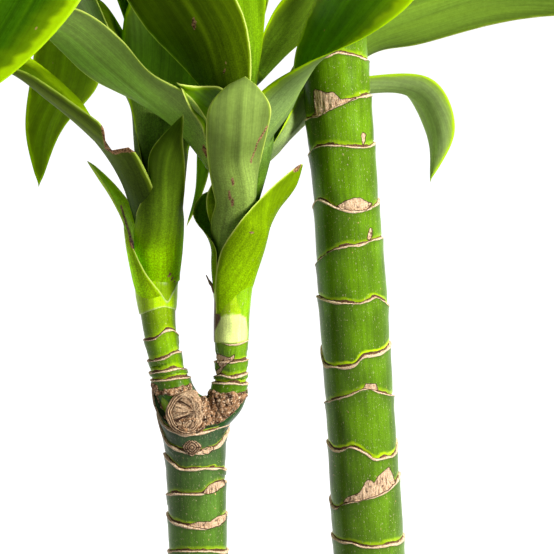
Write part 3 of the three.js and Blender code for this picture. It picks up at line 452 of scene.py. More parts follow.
def from_nearest_scar(paint, wobble):
    """Millimetres above the nearest scar, negative below it, with a wavering edge."""
    above, below = paint.mark("above"), paint.mark("below")
    higher = paint.fold("LESS_THAN", above, below)
    lower = paint.minus(1.0, higher)
    far = paint.minus(paint.times(above, higher), paint.times(below, lower))
    return paint.plus(far, paint.waver(wobble, 1.1))


def young_skin_and_shadow(paint, color, tint, far, beyond):
    """Lime skin just above each scar, and a painted shadow on the skin under it."""
    lime = paint.times(paint.mark("glow"), paint.between(beyond, 0.5, 2.4, 1.0, 0.0))
    lime = paint.largest(lime, paint.between(beyond, 0.1, 0.9, 0.65, 0.0))
    lime = paint.times(lime, paint.between(beyond, -0.2, 0.1))
    color = paint.mix(lime, color, LIME)
    shadow = paint.between(far, -4.0, -1.0, 0.0, 0.4)
    shadow = paint.times(shadow, paint.between(far, -0.4, 0.1, 1.0, 0.0))
    return paint.mix(shadow, color, paint.shade(tint, 0.5))


def skin_specks(paint, color, flow, grain):
    """Tan dots and pale scratches."""
    dots = paint.cells(paint.stretch(flow, (0.16, 0.13, 1)), 1.0)
    dot = paint.times(paint.between(dots, 0.045, 0.085, 1.0, 0.0), paint.between(grain, 0.4, 0.6))
    color = paint.mix(dot, color, TAN)
    scratch = paint.drawn_out(flow, 1.4, 0.5, 5, 0.7)
    return paint.mix(paint.between(scratch, 0.6, 0.67, 0.0, 0.6), color, PALE_WOOD)


def scar_rim(paint, color, grain, far, beyond):
    """The tan rim under each scar's line, its cream partly painted highlight, and the dark crust along it,
    and where they are.
    """
    tan = paint.mix(paint.between(grain, 0.36, 0.58), TAN, RIM_CREAM_AND_HIGHLIGHT)
    crust = paint.mix(paint.between(grain, 0.35, 0.65), DARK_BROWN, paint.shade(TAN, 0.4))
    under = paint.plus(far, paint.mark("rim"))
    band = paint.times(paint.between(under, -0.12, 0.12), paint.between(far, 0.0, 0.3, 1.0, 0.0))
    line = paint.times(paint.between(far, -0.05, 0.2), paint.between(beyond, -0.1, 0.15, 1.0, 0.0))
    color = paint.mix(line, paint.mix(band, color, tan), crust)
    return color, paint.largest(band, line)


def torn_skin(paint, color, wobble, grain, fibres):
    """Patches torn down to the pale fibres, with a brown border, and where they are."""
    torn = paint.mix(paint.between(grain, 0.35, 0.6), TAN, PALE_WOOD)
    torn = paint.mix(paint.between(fibres, 0.4, 0.49), FIBRE_BROWN, torn)
    torn = paint.mix(paint.between(wobble, 0.35, 0.42, 0.85, 0.0), torn, DARK_BROWN)
    bare = paint.plus(paint.mark("patch"), paint.waver(wobble, 1.3))
    color = paint.mix(paint.between(bare, -0.5, -0.2), color, DARK_BROWN)
    color = paint.mix(paint.between(bare, -0.05, 0.2), color, torn)
    return color, paint.between(bare, -0.2, 0.1)


def bare_cork(paint, color, bark):
    """Crumbly cork and where it is: pale flecks, partly painted highlight, and dark pits where its relief
    sinks, partly painted shade.
    """
    dark, middle, pale = CORK_COLORS_AND_HIGHLIGHT
    fleck = paint.noise(paint.place(), 1100, 3, 0.6)
    corky = paint.mix(paint.between(bark, 0.4, 0.62), dark, middle)
    corky = paint.mix(paint.between(fleck, 0.53, 0.63), corky, pale)
    pitted = paint.between(paint.mark("pit"), 0.62, 0.95, 0.0, 0.85)
    corky = paint.mix(paint.largest(paint.between(bark, 0.36, 0.44, 1.0, 0.0), pitted), corky, CORK_PIT_AND_SHADE)
    crusted = paint.between(paint.plus(paint.mark("cork"), paint.waver(bark, 2.2)), -0.3, 0.1)
    return paint.mix(crusted, color, corky), crusted


def skin_material(name):
    """A cane's skin: waxy green with long streaks, tan leaf scars, torn patches and bare cork."""
    paint = Paint(name)
    tint = paint.mark("tint", "Vector")
    flow = paint.join(paint.mark("round"), paint.mark("along"), 0)
    streaks = paint.drawn_out(flow, 0.55, 0.03, 3, 0.6)
    wobble = paint.drawn_out(flow, 0.35, 0.35, 4, 0.6)
    grain = paint.drawn_out(flow, 1.2, 1.6, 4, 0.65)
    fibres = paint.drawn_out(flow, 1.9, 0.16, 4, 0.7)
    bark = paint.noise(paint.place(), 380, 5, 0.75)
    light = paint.times(
        paint.between(streaks, 0.25, 0.75, 0.84, 1.16),
        paint.vary(paint.drawn_out(flow, 1.9, 0.05), 0.93, 1.07),
        paint.vary(paint.drawn_out(flow, 0.07, 0.035), 0.72, 1.28),
        paint.vary(paint.noise(paint.place(), 1500, 2, 0.6), 0.84, 1.16),
    )
    far = from_nearest_scar(paint, wobble)
    crust_width = paint.between(paint.drawn_out(flow, 0.11, 0.2), 0.35, 0.65, 0.4, 1.6)
    beyond = paint.minus(far, crust_width)
    color = young_skin_and_shadow(paint, paint.shade(tint, light), tint, far, beyond)
    color = skin_specks(paint, color, flow, grain)
    color, scarred = scar_rim(paint, color, grain, far, beyond)
    color, bared = torn_skin(paint, color, wobble, grain, fibres)
    color, crusted = bare_cork(paint, color, bark)
    dryness = paint.largest(scarred, bared, crusted)
    roughness = paint.between(dryness, 0.2, 0.8, 0.3, 0.85)
    relief = paint.times(paint.plus(fibres, bark), dryness)
    relief = paint.plus(relief, paint.times(streaks, 0.2))
    return paint.surface(color, roughness, paint.bump(relief, 0.0009, 0.8), Specular_IOR_Level=0.12)


def stub_material():
    """Sawn or dry wood: cracks that run out from the middle, and dark grooves."""
    paint = Paint("sawn_wood")
    out = paint.mark("along")
    rays = paint.drawn_out(paint.mark("turn", "Vector"), 7.5, 7.5, 4, 0.75)
    grain = paint.noise(paint.place(), 1100, 4, 0.7)
    clouds = paint.noise(paint.place(), 260, 2, 0.6)
    crack = paint.times(
        paint.between(rays, 0.41, 0.52, 1.0, 0.0),
        paint.between(out, 0.3, 1.6),
        paint.between(out, 8.2, 9.4, 1.0, 0.0),
    )
    color = paint.mix(paint.vary(grain), SAWN_COLORS[0], SAWN_COLORS[1])
    color = paint.mix(paint.between(clouds, 0.45, 0.7, 0.0, 0.5), color, SAWN_COLORS[2])
    color = paint.mix(crack, color, SAWN_CRACK)
    color = paint.mix(paint.mark("ring"), color, SAWN_GROOVE)
    relief = paint.minus(paint.times(grain, 0.5), crack)
    return paint.surface(color, 0.85, paint.bump(relief, 0.0009, 0.8), Specular_IOR_Level=0.2)


def soil_material():
    paint = Paint("potting_compost")
    coarse = paint.noise(paint.place(), 260, 5, 0.7)
    fleck = paint.cells(paint.place(), 420)
    color = paint.mix(paint.between(coarse, 0.35, 0.68), COMPOST_COLORS[0], COMPOST_COLORS[1])
    color = paint.mix(paint.between(fleck, 0.05, 0.12, 0.8, 0.0), color, COMPOST_COLORS[2])
    return paint.surface(color, 0.95, paint.bump(coarse, 0.0015), Specular_IOR_Level=0.15)


def crumb_material():
    paint = Paint("compost_crumbs")
    grain = paint.noise(paint.place(), 700, 4, 0.7)
    color = paint.shade(paint.mark("tint", "Vector"), paint.vary(grain, 0.6, 1.3))
    return paint.surface(color, 0.95, paint.bump(grain, 0.0006), Specular_IOR_Level=0.15)


def terracotta_material():
    """Unglazed clay with fine turning rings and a pale bloom of salts."""
    paint = Paint("terracotta_clay")
    clouds = paint.noise(paint.place(), 16, 4, 0.6)
    grain = paint.noise(paint.place(), 900, 3, 0.6)
    rings = paint.noise(paint.stretch(paint.place(), (3, 3, 330)), 1.0, 2)
    color = paint.mix(paint.vary(clouds), CLAY_COLORS[0], CLAY_COLORS[1])
    color = paint.mix(paint.vary(grain, 0.0, 0.25), color, CLAY_COLORS[2])
    bloom = paint.times(paint.between(clouds, 0.56, 0.74), paint.between(grain, 0.35, 0.6), 0.4)
    color = paint.mix(bloom, color, SALT_BLOOM)
    height = paint.plus(paint.times(rings, 0.8), paint.times(grain, 0.4))
    return paint.surface(color, 0.85, paint.bump(height, 0.0004, 0.5), Specular_IOR_Level=0.25)


UPPER = leaf_material("leaf_upper_face", roughness=(0.26, 0.36), relief=0.0003, gloss=0.16)
UNDER = leaf_material("leaf_underside", roughness=(0.42, 0.54), relief=0.0002, gloss=0.02)
SKIN = skin_material("cane_skin")
SAWN = stub_material()
SOIL = soil_material()
CRUMB = crumb_material()
TERRACOTTA = terracotta_material()

# ---- Stems --------------------------------------------------------------------------------------

# Millimetres and degrees. Rows of points crowd within SCAR_NEAR of a scar, and SCAR_FAR stands for
# anywhere out of reach of one. A pixel of the photograph marks skin up to FRONT_TURN round a stem.
SOIL_LEVEL = 186
SCAR_NEAR = 3.2
SCAR_FAR = 20.0
SCAR_OFFSETS = [-3.2, -2.3, -1.6, -1.15, -0.8, -0.5, -0.25, 0.0, 0.2, 0.4, 0.65, 0.95, 1.4, 2.2, 3.2]
ROW_STEP = 3
RIM_SCALE = 0.7
DRAWN_RIM = 1.2
DRAWN_GLOW = 0.3
FRONT_TURN = 100
PIXEL_ROUNDS = 8


def outward(turns):
    """Level directions away from a stem's middle, for turns in degrees from the viewer's side."""
    angle = np.radians(turns)
    return np.stack([np.sin(angle), -np.cos(angle), np.zeros_like(angle)], -1)


class Stem:
    """A round stem by its axis, points in millimetres, and its radius at heights in millimetres."""

    def __init__(self, axis, radius):
        axis = np.array(axis, float)
        self.heights = axis[:, 2]
        self.middles = axis[:, :2]
        self.radius_keys = np.array(radius, float)

    def axis(self, z):
        """The points of the axis at heights of any shape."""
        z = np.asarray(z, float)
        middle = spline(self.middles, self.heights, z.ravel())
        return np.concatenate([middle.reshape(*z.shape, 2), z[..., None]], -1)

    def radius(self, z):
        return np.interp(z, self.radius_keys[:, 0], self.radius_keys[:, 1])

    def place_of(self, px, py):
        """The turn, in degrees from the viewer's side, and the height that a pixel shows."""
        ray = ray_through(px, py)
        y = self.axis(self.heights.mean())[1]
        for _ in range(PIXEL_ROUNDS):
            spot = (EYE + ray * ((y * MM - EYE[1]) / ray[1])) / MM
            middle = self.axis(spot[2])
            radius = float(self.radius(spot[2]))
            side = float(np.clip(spot[0] - middle[0], -0.999 * radius, 0.999 * radius))
            y = middle[1] - math.sqrt(radius**2 - side**2)
        return math.degrees(math.asin(side / radius)), float(spot[2])

    def seat(self, px, py):
        """The point of the skin that a pixel shows, and the way out from it."""
        turn, height = self.place_of(px, py)
        out = outward(turn)
        return self.axis(height) + out * self.radius(height), out


TALL = Stem(
    [[57, 30, 86], [54, 30, 250], [46, 30, 369], [42, 30, 430], [36, 30, 516], [32, 30, 573],
     [27, 30, 629], [23, 30, 684], [16, 30, 745], [9, 30, 800], [3, 30, 850], [-2, 30, 905]],
    [[86, 21], [388, 20.5], [454, 19.5], [520, 19.7], [575, 18.4], [612, 18.9], [700, 18.4],
     [800, 17.4], [812, 15.5], [840, 10], [905, 2]],
)
TRUNK = Stem(
    [[-50, 0, 86], [-50.5, 0, 300], [-51.5, 0, 400], [-52.2, 0, 426], [-52.7, 0, 443], [-52.8, 0, 475]],
    [[86, 17], [370, 16.3], [408, 16.4], [426, 16.6], [440, 17.4], [448, 19], [455, 20], [462, 22],
     [470, 23]],
)
LEFT = Stem(
    [[-50, 0, 436], [-59, 2, 458], [-65, 3, 472], [-70, 4, 491], [-73, 5, 512], [-73.4, 6, 530],
     [-73, 7, 552], [-73, 9, 574], [-74, 15, 629], [-75, 21, 662]],
    [[436, 12], [455, 12.5], [465, 12], [472, 10.7], [478, 10.5], [482, 9.5], [505, 9.3], [511, 9.6],
     [516, 10.4], [520, 11], [529, 11.8], [531, 11.8], [533, 8], [545, 6.2], [600, 3.2], [662, 1.6]],
)
RIGHT_SHOOT = Stem(
    [[-49, -2, 437], [-43, -4, 450], [-37, -5, 460], [-33, -5, 473], [-32, -5, 492], [-32, -6, 511],
     [-30, -7, 542], [-28, -9, 586], [-25, -10, 629], [-23, -11, 660], [-21, -11, 690]],
    [[437, 8], [450, 9.2], [460, 9.8], [473, 9.6], [476, 8.9], [495, 8.7], [508, 9.1], [510.5, 9.1],
     [511, 7.2], [530, 5.8], [560, 4.2], [690, 1.6]],
)

# Leaf scars as the photograph shows them: each line's pixels from left to right, how broad its
# tan rim is in millimetres and how lime the young skin above it.
TALL_SCARS = [
    ([(327, 56), (338, 52), (350, 54), (369, 61)], 1.3, 0.3),
    ([(304, 119), (312, 117), (320, 114), (331, 108), (342, 103), (356, 98), (371, 94)], 1.1, 0.4),
    ([(308, 155), (317, 147), (329, 145), (346, 146), (367, 147), (376, 142)], 0.9, 0.3),
    ([(312, 206), (319, 199), (326, 202), (335, 207), (346, 210), (365, 210), (373, 207),
      (379, 199)], 1.3, 0.2),
    ([(315, 264), (324, 256), (335, 249), (347, 246), (361, 244), (373, 240), (381, 237)], 1.3, 0.3),
    ([(318, 296), (331, 301), (347, 303), (361, 303), (369, 300), (375, 297), (382, 300),
      (388, 305)], 1.2, 0.5),
    ([(320, 353), (324, 362), (332, 366), (345, 367), (355, 364), (364, 356), (375, 354), (385, 350),
      (390, 343)], 1.6, 1.0),
    ([(325, 402), (336, 399), (349, 395), (362, 390), (370, 389), (379, 392), (394, 395)], 1.0, 0.3),
    ([(329, 444), (335, 450), (345, 449), (350, 447), (358, 449), (366, 453), (376, 459), (385, 457),
      (394, 455), (398, 442)], 1.4, 0.8),
    ([(331, 502), (335, 508), (345, 504), (353, 502), (364, 500), (377, 496), (388, 489), (395, 483),
      (399, 475)], 1.1, 0.3),
    ([(334, 537), (338, 540), (351, 543), (368, 547), (385, 545), (396, 543), (405, 535)], 1.3, 0.5),
]
TALL_SCARS_BELOW = [336, 311, 286, 261, 236, 211]
TALL_SCARS_ABOVE = [703, 727, 751, 775]
TALL_PATCHES = [
    [(314, 89), (328, 93), (333, 92), (340, 99), (356, 98), (342, 105), (330, 110), (320, 116),
     (311, 117), (315, 112), (314, 100)],
    [(361, 131), (366, 134), (366, 139), (363, 145), (362, 138)],
    [(337, 206), (346, 201), (354, 198), (360, 198), (366, 201), (372, 204), (366, 210), (354, 210),
     (342, 209)],
    [(370, 228), (372, 229), (372, 237), (369, 240), (367, 239)],
    [(364, 388), (366, 384), (376, 384), (378, 390), (370, 389)],
    [(343, 502), (348, 497), (360, 493), (366, 481), (370, 480), (374, 483), (379, 476), (389, 467),
     (393, 476), (395, 483), (388, 490), (376, 496), (360, 501)],
]
TRUNK_SCARS = [
    ([(153, 395), (161, 420), (166, 426), (174, 431), (184, 434), (195, 434), (203, 432), (214, 430),
      (225, 425), (231, 420), (236, 410)], 1.4, 0.0),
    ([(160, 424), (166, 440), (174, 447), (183, 451), (191, 453), (199, 452), (208, 450), (217, 446),
      (227, 433)], 1.6, 0.0),
    ([(167, 457), (174, 464), (181, 469), (191, 469), (207, 468), (217, 468), (226, 469)], 1.4, 0.0),
    ([(166, 494), (174, 493), (184, 494), (195, 494), (202, 493), (209, 487), (217, 482),
      (225, 481)], 1.3, 0.2),
    ([(168, 515), (174, 522), (184, 525), (200, 528), (212, 526), (219, 522), (225, 516)], 1.3, 0.5),
    ([(168, 550), (184, 551), (205, 551), (225, 551)], 1.3, 0.3),
]
TRUNK_SCARS_BELOW = [356, 332, 308, 284, 260, 236, 212]
TRUNK_PATCHES = [
    [(210, 485), (216, 482), (224, 481), (225, 485), (216, 492), (210, 494), (202, 493)],
    [(187, 525), (199, 522), (210, 522), (217, 517), (226, 514), (226, 520), (219, 526), (207, 529),
     (194, 527)],
    [(202, 449), (212, 446), (214, 449), (208, 454), (203, 453)],
]
LEFT_SCARS = [
    ([(145, 340), (156, 338), (164, 331), (170, 329), (179, 334)], 1.1, 0.2),
    ([(149, 361), (159, 360), (167, 357), (175, 352), (180, 351)], 0.9, 0.3),
    ([(152, 373), (164, 371), (178, 368), (184, 369)], 0.8, 0.4),
    ([(152, 380), (164, 380), (178, 378), (188, 377)], 0.6, 0.3),
]
RIGHT_SCARS = [
    ([(212, 341), (220, 342), (231, 344), (246, 340)], 1.0, 0.0),
    ([(212, 361), (222, 362), (233, 362), (245, 360)], 0.8, 0.2),
    ([(212, 376), (221, 375), (234, 377), (244, 374)], 0.8, 0.4),
    ([(212, 382), (222, 383), (234, 383), (241, 384)], 0.7, 0.4),
]
RIGHT_PATCHES = [
    [(215, 353), (223, 356), (230, 358), (235, 354), (233, 360), (224, 366), (220, 373), (213, 377),
     (214, 373), (220, 368), (216, 360)],
    [(210, 298), (215, 306), (219, 318), (217, 324), (215, 328), (214, 337), (213, 342), (208, 342)],
]

# The skin's colour at heights in millimetres.
TALL_TINTS = [(186, (80, 108, 26)), (400, (84, 120, 8)), (520, (86, 124, 4)), (700, (96, 134, 6))]
TRUNK_TINTS = [
    (186, (60, 88, 26)), (380, (74, 112, 20)), (415, (76, 110, 34)), (432, (66, 94, 40)),
    (446, (52, 76, 42)),
]
LEFT_TINTS = [(466, (70, 108, 10)), (490, (104, 146, 2)), (512, (128, 162, 2)), (530, (150, 190, 4))]
RIGHT_TINTS = [(466, (86, 130, 4)), (494, (100, 142, 6)), (498, (128, 164, 16))]


def stem_turns(columns):
    """The turns of a stem's columns of points, in degrees from the viewer's side."""
    return np.arange(columns) * 360 / columns - 180


def ring_line(stem, pixels, turns):
    """The heights of a scar all round a stem, from the pixels that show its front."""
    seen = sorted(stem.place_of(px, py) for px, py in pixels)
    turn, height = np.array(seen).T
    keep = np.concatenate([[True], np.diff(turn) > 2])
    turn, height = turn[keep], height[keep]
    behind = (turn[-1] + turn[0]) / 2 + 180
    mean = height.mean() + 0.35 * (height[0] + height[-1] - 2 * height.mean())
    turn = np.append(turn, behind)
    height = np.append(height, mean)
    turn = np.concatenate([turn - 360, turn, turn + 360])
    return spline(np.tile(height, 3), turn, turns)


def drawn_line(level, turns, seed):
    """A scar by rule: a wavy ring with one low and one raised side."""
    random = np.random.default_rng(seed)
    lean, dip, ripple = random.uniform(-180, 180, 3)
    sizes = random.uniform(0.4, 1.0, 3) * (2.6, 1.4, 0.7)
    waves = [np.cos(np.radians(k * (turns - start))) for k, start in ((1, lean), (2, dip), (4, ripple))]
    return level + sum(size * wave for size, wave in zip(sizes, waves))


def scar_lines(stem, columns, seen, levels=(), seed=0):
    """Every scar's heights, rim and glow: those that the photograph shows, then those by rule."""
    turns = stem_turns(columns)
    lines = [(ring_line(stem, pixels, turns), rim, glow) for pixels, rim, glow in seen]
    for k, level in enumerate(levels):
        lines.append((drawn_line(level, turns, seed + k), DRAWN_RIM, DRAWN_GLOW))
    return lines


def stem_rows(lines, foot, top):
    """Heights of a stem's rows of points: close together at each scar and even between scars."""
    levels = [np.full_like(lines[0], foot), *lines, np.maximum(float(top), lines[-1] + 2.5)]
    rows = []
    for k, (low, high) in enumerate(zip(levels[:-1], levels[1:])):
        near = min(SCAR_NEAR, 0.45 * float((high - low).mean()))
        start = low if k == 0 else low + near
        end = high - near if k < len(lines) else high
        count = max(2, int((end - start).mean() / ROW_STEP) + 1)
        shares = np.linspace(0, 1, count + 1)[0 if k == 0 else 1 : -1]
        rows += [start + (end - start) * share for share in shares]
        if k < len(lines):
            rows += [high + offset * near / SCAR_NEAR for offset in SCAR_OFFSETS]
    return np.array([*rows, levels[-1]])


def scar_relief(scar, rim, ring, worn):
    """How far the skin stands out of its mean radius, by its height over the nearest scar."""
    swell = np.where(scar < 0, 0.55 * smoothstep(scar, -9, -0.6), -0.3 * (1 - smoothstep(scar, 0.5, 9)))
    lip = 0.35 * smoothstep(scar, -rim - 0.5, -rim * 0.5) * (1 - smoothstep(scar, -0.2, 0.15))
    groove = -0.5 * smoothstep(scar, -0.1, 0.3) * (1 - smoothstep(scar, 0.6, 1.5))
    uneven = 0.12 * bumps(ring, 14, 8)
    return swell + lip * (1 + 0.5 * worn) + groove * (1 + 0.6 * bumps(ring, 3.0, 5)) + uneven


def shown_in(polygons, points, facing=True):
    """How far points in millimetres lie inside areas of the photograph, if they face the viewer."""
    seen = pixels_of(points.reshape(-1, 3) * MM)
    depth = np.full(len(seen), -SCAR_FAR)
    for polygon in polygons:
        depth = np.maximum(depth, inside(polygon, seen) * PIXEL / MM)
    return np.where(facing, depth.reshape(points.shape[:-1]), -SCAR_FAR)


def painted(color, areas, points, facing=True):
    """Colours of points, with each area's own colour laid over the points that it shows."""
    for polygon, shade in areas:
        share = smoothstep(shown_in([polygon], points, facing), -0.4, 0.5)[..., None]
        color = color * (1 - share) + linear(shade) * share
    return color


def skin_marks(around, z, tint, **given):
    """What skin_material reads: plain skin far from scars, patches and cork, but for what is given."""
    far = np.full(z.shape, SCAR_FAR)
    plain = {"above": far, "below": far, "rim": np.ones(z.shape), "glow": np.zeros(z.shape)}
    return {**plain, "patch": -far, "cork": -far, "round": around, "along": z, "tint": tint, **given}


def ringed_stem(name, node, stem, scars, patches, ends, tint):
    """A cane whose rows of points run along its leaf scars, so that each scar is a crisp rim.

    scars is a list of (heights all round, rim, glow). Each internode starts a little thinner than
    the rim that it rises from, and swells to its own rim."""
    scars = sorted(scars, key=lambda scar: scar[0].mean())
    lines = [line for line, _, _ in scars]
    z = stem_rows(lines, *ends)
    turns = stem_turns(z.shape[1]) + np.zeros_like(z)
    out = outward(turns)
    ring = out * stem.radius(z)[..., None] + z[..., None] * (0, 0, 1)
    worn = bumps(ring, 5.0, 3)
    gaps = np.array([z - line for line in lines])
    nearest = np.abs(gaps).argmin(0)
    scar = np.take_along_axis(gaps, nearest[None], 0)[0]
    rim = np.array([width for _, width, _ in scars])[nearest] * RIM_SCALE * (1 + 0.9 * worn)
    radius = stem.radius(z) + scar_relief(scar, rim, ring, worn)
    points = stem.axis(z) + out * radius[..., None]
    patch = shown_in(patches, points, np.abs(turns) < FRONT_TURN)
    sunk = smoothstep(patch, -0.2, 0.8) * (0.5 + 0.35 * bumps(ring * (3, 3, 0.6), 3.0, 11))
    points = points - out * sunk[..., None]
    marks = skin_marks(
        np.radians(turns) * radius, z, tint(points), rim=rim, patch=patch,
        above=np.where(gaps > -1e-6, gaps, SCAR_FAR).min(0),
        below=np.where(gaps < 1e-6, -gaps, SCAR_FAR).min(0),
        glow=np.array([glow for _, _, glow in scars])[nearest],
    )
    finish_piece(tube_piece(name, points, marks, SKIN), "cane", node)


def tint_by_height(keys):
    """A function that gives points their colour, blended between the heights of the keys."""
    heights = [height for height, _ in keys]
    colors = np.array([linear(color) for _, color in keys])
    return lambda points: np.stack([np.interp(points[..., 2], heights, colors[:, k]) for k in range(3)], -1)


def tall_tint_and_shade(points):
    """The tall cane's skin colour, with painted shade on its left side under the leaves."""
    z = points[..., 2]
    left = TALL.axis(z)[..., 0] - points[..., 0]
    painted_shade = smoothstep(z, 560, 625) * (1 - smoothstep(z, 690, 740)) * smoothstep(left, 3, 15)
    return tint_by_height(TALL_TINTS)(points) * (1 - 0.5 * painted_shade[..., None])


# How many columns of points each skin has, and the heights of its foot and top. The canes' skins
# start below the soil, and the shoots' end inside their hearts.
TALL_COLUMNS, TALL_ENDS = 220, (150, 890)
TRUNK_COLUMNS, TRUNK_ENDS = 200, (150, 440)
SHOOT_COLUMNS, LEFT_ENDS, RIGHT_ENDS = 120, (470, 660), (466, 688)


def make_canes():
    """The skins of both canes and of the forked cane's two shoots."""
    scars = scar_lines(TALL, TALL_COLUMNS, TALL_SCARS, TALL_SCARS_BELOW + TALL_SCARS_ABOVE, seed=20)
    ringed_stem("tall_cane_skin", "tall_cane", TALL, scars, TALL_PATCHES, TALL_ENDS, tall_tint_and_shade)
    scars = scar_lines(TRUNK, TRUNK_COLUMNS, TRUNK_SCARS, TRUNK_SCARS_BELOW, seed=50)
    tint = tint_by_height(TRUNK_TINTS)
    ringed_stem("trunk_skin", "forked_cane", TRUNK, scars, TRUNK_PATCHES, TRUNK_ENDS, tint)
    scars = scar_lines(LEFT, SHOOT_COLUMNS, LEFT_SCARS)
    tint = tint_by_height(LEFT_TINTS)
    ringed_stem("left_shoot_skin", "forked_cane", LEFT, scars, [], LEFT_ENDS, tint)
    scars = scar_lines(RIGHT_SHOOT, SHOOT_COLUMNS, RIGHT_SCARS)
    tint = tint_by_height(RIGHT_TINTS)
    ringed_stem("right_shoot_skin", "forked_cane", RIGHT_SHOOT, scars, RIGHT_PATCHES, RIGHT_ENDS, tint)


# The tube at the foot of each shoot's lowest leaf: the shoot, the sheath's middle and radius by
# height, the pixels of its foot and of its mouth from left to right, its colour, its lip's colour
# and the areas of other colours.
SHEATHS = {
    "left_sheath": (
        Stem([[-73, 5, 508], [-73.6, 5.5, 520], [-73.6, 6, 545]],
             [[508, 9.9], [511, 10.1], [515, 10.9], [520, 11.6], [530, 12.1], [545, 12.3]]),
        [(142, 314), (147, 312), (153, 310), (159, 308), (164, 307), (170, 308), (176, 310)],
        [(137, 272), (142, 270), (147, 276), (154, 285), (161, 294), (168, 301), (172, 294), (176, 286),
         (179, 280)],
        (182, 226, 6),
        (214, 230, 150),
        [],
    ),
    "right_sheath": (
        Stem([[-32.2, -5, 492], [-31.8, -6, 511], [-31, -6.5, 525], [-30, -7, 545]],
             [[492, 9], [498, 9.6], [512, 9.9], [520, 10.2], [527, 10.6], [545, 11]]),
        [(212, 342), (220, 343), (231, 344), (239, 343), (246, 341)],
        [(211, 290), (214, 286), (218, 283), (224, 282), (232, 282), (244, 282), (256, 282)],
        (128, 174, 4),
        (128, 174, 4),
        [
            ([(205, 282), (214, 282), (221, 274), (228, 280), (236, 296), (241, 312), (236, 330),
              (205, 330)], (160, 196, 14)),
            ([(205, 345), (213, 344), (213, 328), (218, 318), (225, 315), (232, 314), (241, 315),
              (246, 318), (248, 330), (247, 346)], (228, 244, 140)),
            ([(205, 296), (213, 296), (217, 304), (221, 318), (218, 325), (215, 331), (215, 345),
              (205, 345)], (104, 70, 46)),
        ],
    ),
}
SHEATH_WALL = 0.5
SHEATH_COLUMNS = 140
OUTER_ROWS = 34
INNER_ROWS = 6


def make_sheaths():
    """The tubes that clasp the shoots, with a rounded pale lip and an inner wall."""
    turns = stem_turns(SHEATH_COLUMNS)
    out = outward(turns)
    facing = np.abs(turns) < FRONT_TURN
    shares = np.concatenate([np.linspace(0, 1, OUTER_ROWS), np.linspace(1, 0, INNER_ROWS)])[:, None]
    wall = np.repeat([0, SHEATH_WALL], [OUTER_ROWS, INNER_ROWS])[:, None]
    for name, (stem, foot, mouth, color, lip, areas) in SHEATHS.items():
        top, low = ring_line(stem, mouth, turns), ring_line(stem, foot, turns)
        z = low + (top - low) * shares
        below_mouth = (top - z) * (wall == 0)
        radius = stem.radius(z) - wall + 0.15 * bumps(out * 8 + z[..., None] * (0, 0, 1), 6, 2)
        radius = radius + 0.35 * np.exp(-((below_mouth / 0.8) ** 2)) * (wall == 0)
        points = stem.axis(z) + out * radius[..., None]
        tint = painted(linear(color) + np.zeros(points.shape), areas, points, facing)
        pale = np.exp(-((below_mouth / 0.9) ** 2)) + 0.7 * np.exp(-(((z - low) / 0.6) ** 2))
        pale = np.minimum(pale, 1)[..., None]
        tint = tint * (1 - pale) + linear(lip) * pale
        marks = skin_marks(np.radians(turns) * radius, z, tint)
        finish_piece(tube_piece(name, points, marks, SKIN), "leaf")


# A dry splinter's pixels from its foot to its tip, and its radius at each in millimetres.
HUSK_PIXELS = [(214, 293), (211, 286), (208, 281), (205, 275)]
HUSK_RADII = (1.0, 0.9, 0.7, 0.2)
HUSK_DEPTH = 0.6
HUSK_DARKNESS = 0.55


def make_husk():
    """A dry splinter that stands out at the left of the right sheath's mouth."""
    seat, out = SHEATHS["right_sheath"][0].seat(*HUSK_PIXELS[0])
    steps = np.array(HUSK_PIXELS, float) - HUSK_PIXELS[0]
    path = seat - HUSK_DEPTH * out + PIXEL / MM * (steps[:, :1] * RIGHT - steps[:, 1:] * UP)
    keys = np.arange(len(path))
    places = np.linspace(0, keys[-1], 13)
    path = spline(path, keys, places)
    ahead = np.gradient(path, axis=0)
    ahead = ahead / np.linalg.norm(ahead, axis=1, keepdims=True)
    side = np.cross(ahead, (0, 1, 0))[:, None]
    over = np.cross(ahead[:, None], side)
    turns = radians_round(12)[:, None]
    radius = np.interp(places, keys, HUSK_RADII) * (1 + 0.2 * np.sin(places * 5))
    grid = path[:, None] + radius[:, None, None] * (np.cos(turns) * side + np.sin(turns) * over)
    marks = {"ring": np.full(grid.shape[:2], HUSK_DARKNESS)}
    finish_piece(tube_piece("dry_husk", grid, marks, SAWN), "leaf")


# ---- The fork and its sawn stub -----------------------------------------------------------------

STUB_FACE = np.array([-55.3, -16.5, 459.6])
STUB_FACING = unit((-0.12, -0.93, 0.34))
STUB_SIDE = unit(np.cross((0, 0, 1), STUB_FACING))
STUB_UP = np.cross(STUB_FACING, STUB_SIDE)
STUB_RADIUS = 11.5
STUB_BACK_DEPTH = 6
STUB_BACK_RADIUS = 9
# The grooves between the stub's curled rims lie at these radii, deepest at this turn. The cracks
# fan out from a place beside the middle.
RIM_GROOVES = (9.1, 10.3, 11.5)
RIM_TURN = math.radians(210)
FAN_MIDDLE = (6.0, 0.5)
CORK_AREAS = [
    [(206, 380), (213, 383), (222, 390), (233, 391), (247, 385), (247, 396), (239, 407), (233, 413),
     (223, 421), (214, 426), (204, 431), (190, 433), (176, 428), (168, 418), (180, 400), (196, 398),
     (208, 395)],
    [(150, 379), (170, 378), (188, 376), (192, 386), (192, 392), (184, 393), (174, 396), (164, 394),
     (152, 397)],
    [(150, 396), (157, 396), (163, 408), (167, 419), (162, 422), (154, 410)],
]
DARK_CORK = [(156, 383), (170, 381), (186, 378), (191, 384), (184, 389), (166, 391), (157, 395)]
LIME_STREAK = ([(162, 397), (168, 402), (170, 416), (166, 420), (161, 404)], (150, 190, 30))
FORK_TINTS = [(430, (36, 62, 38)), (456, (36, 76, 30)), (470, (60, 104, 14))]

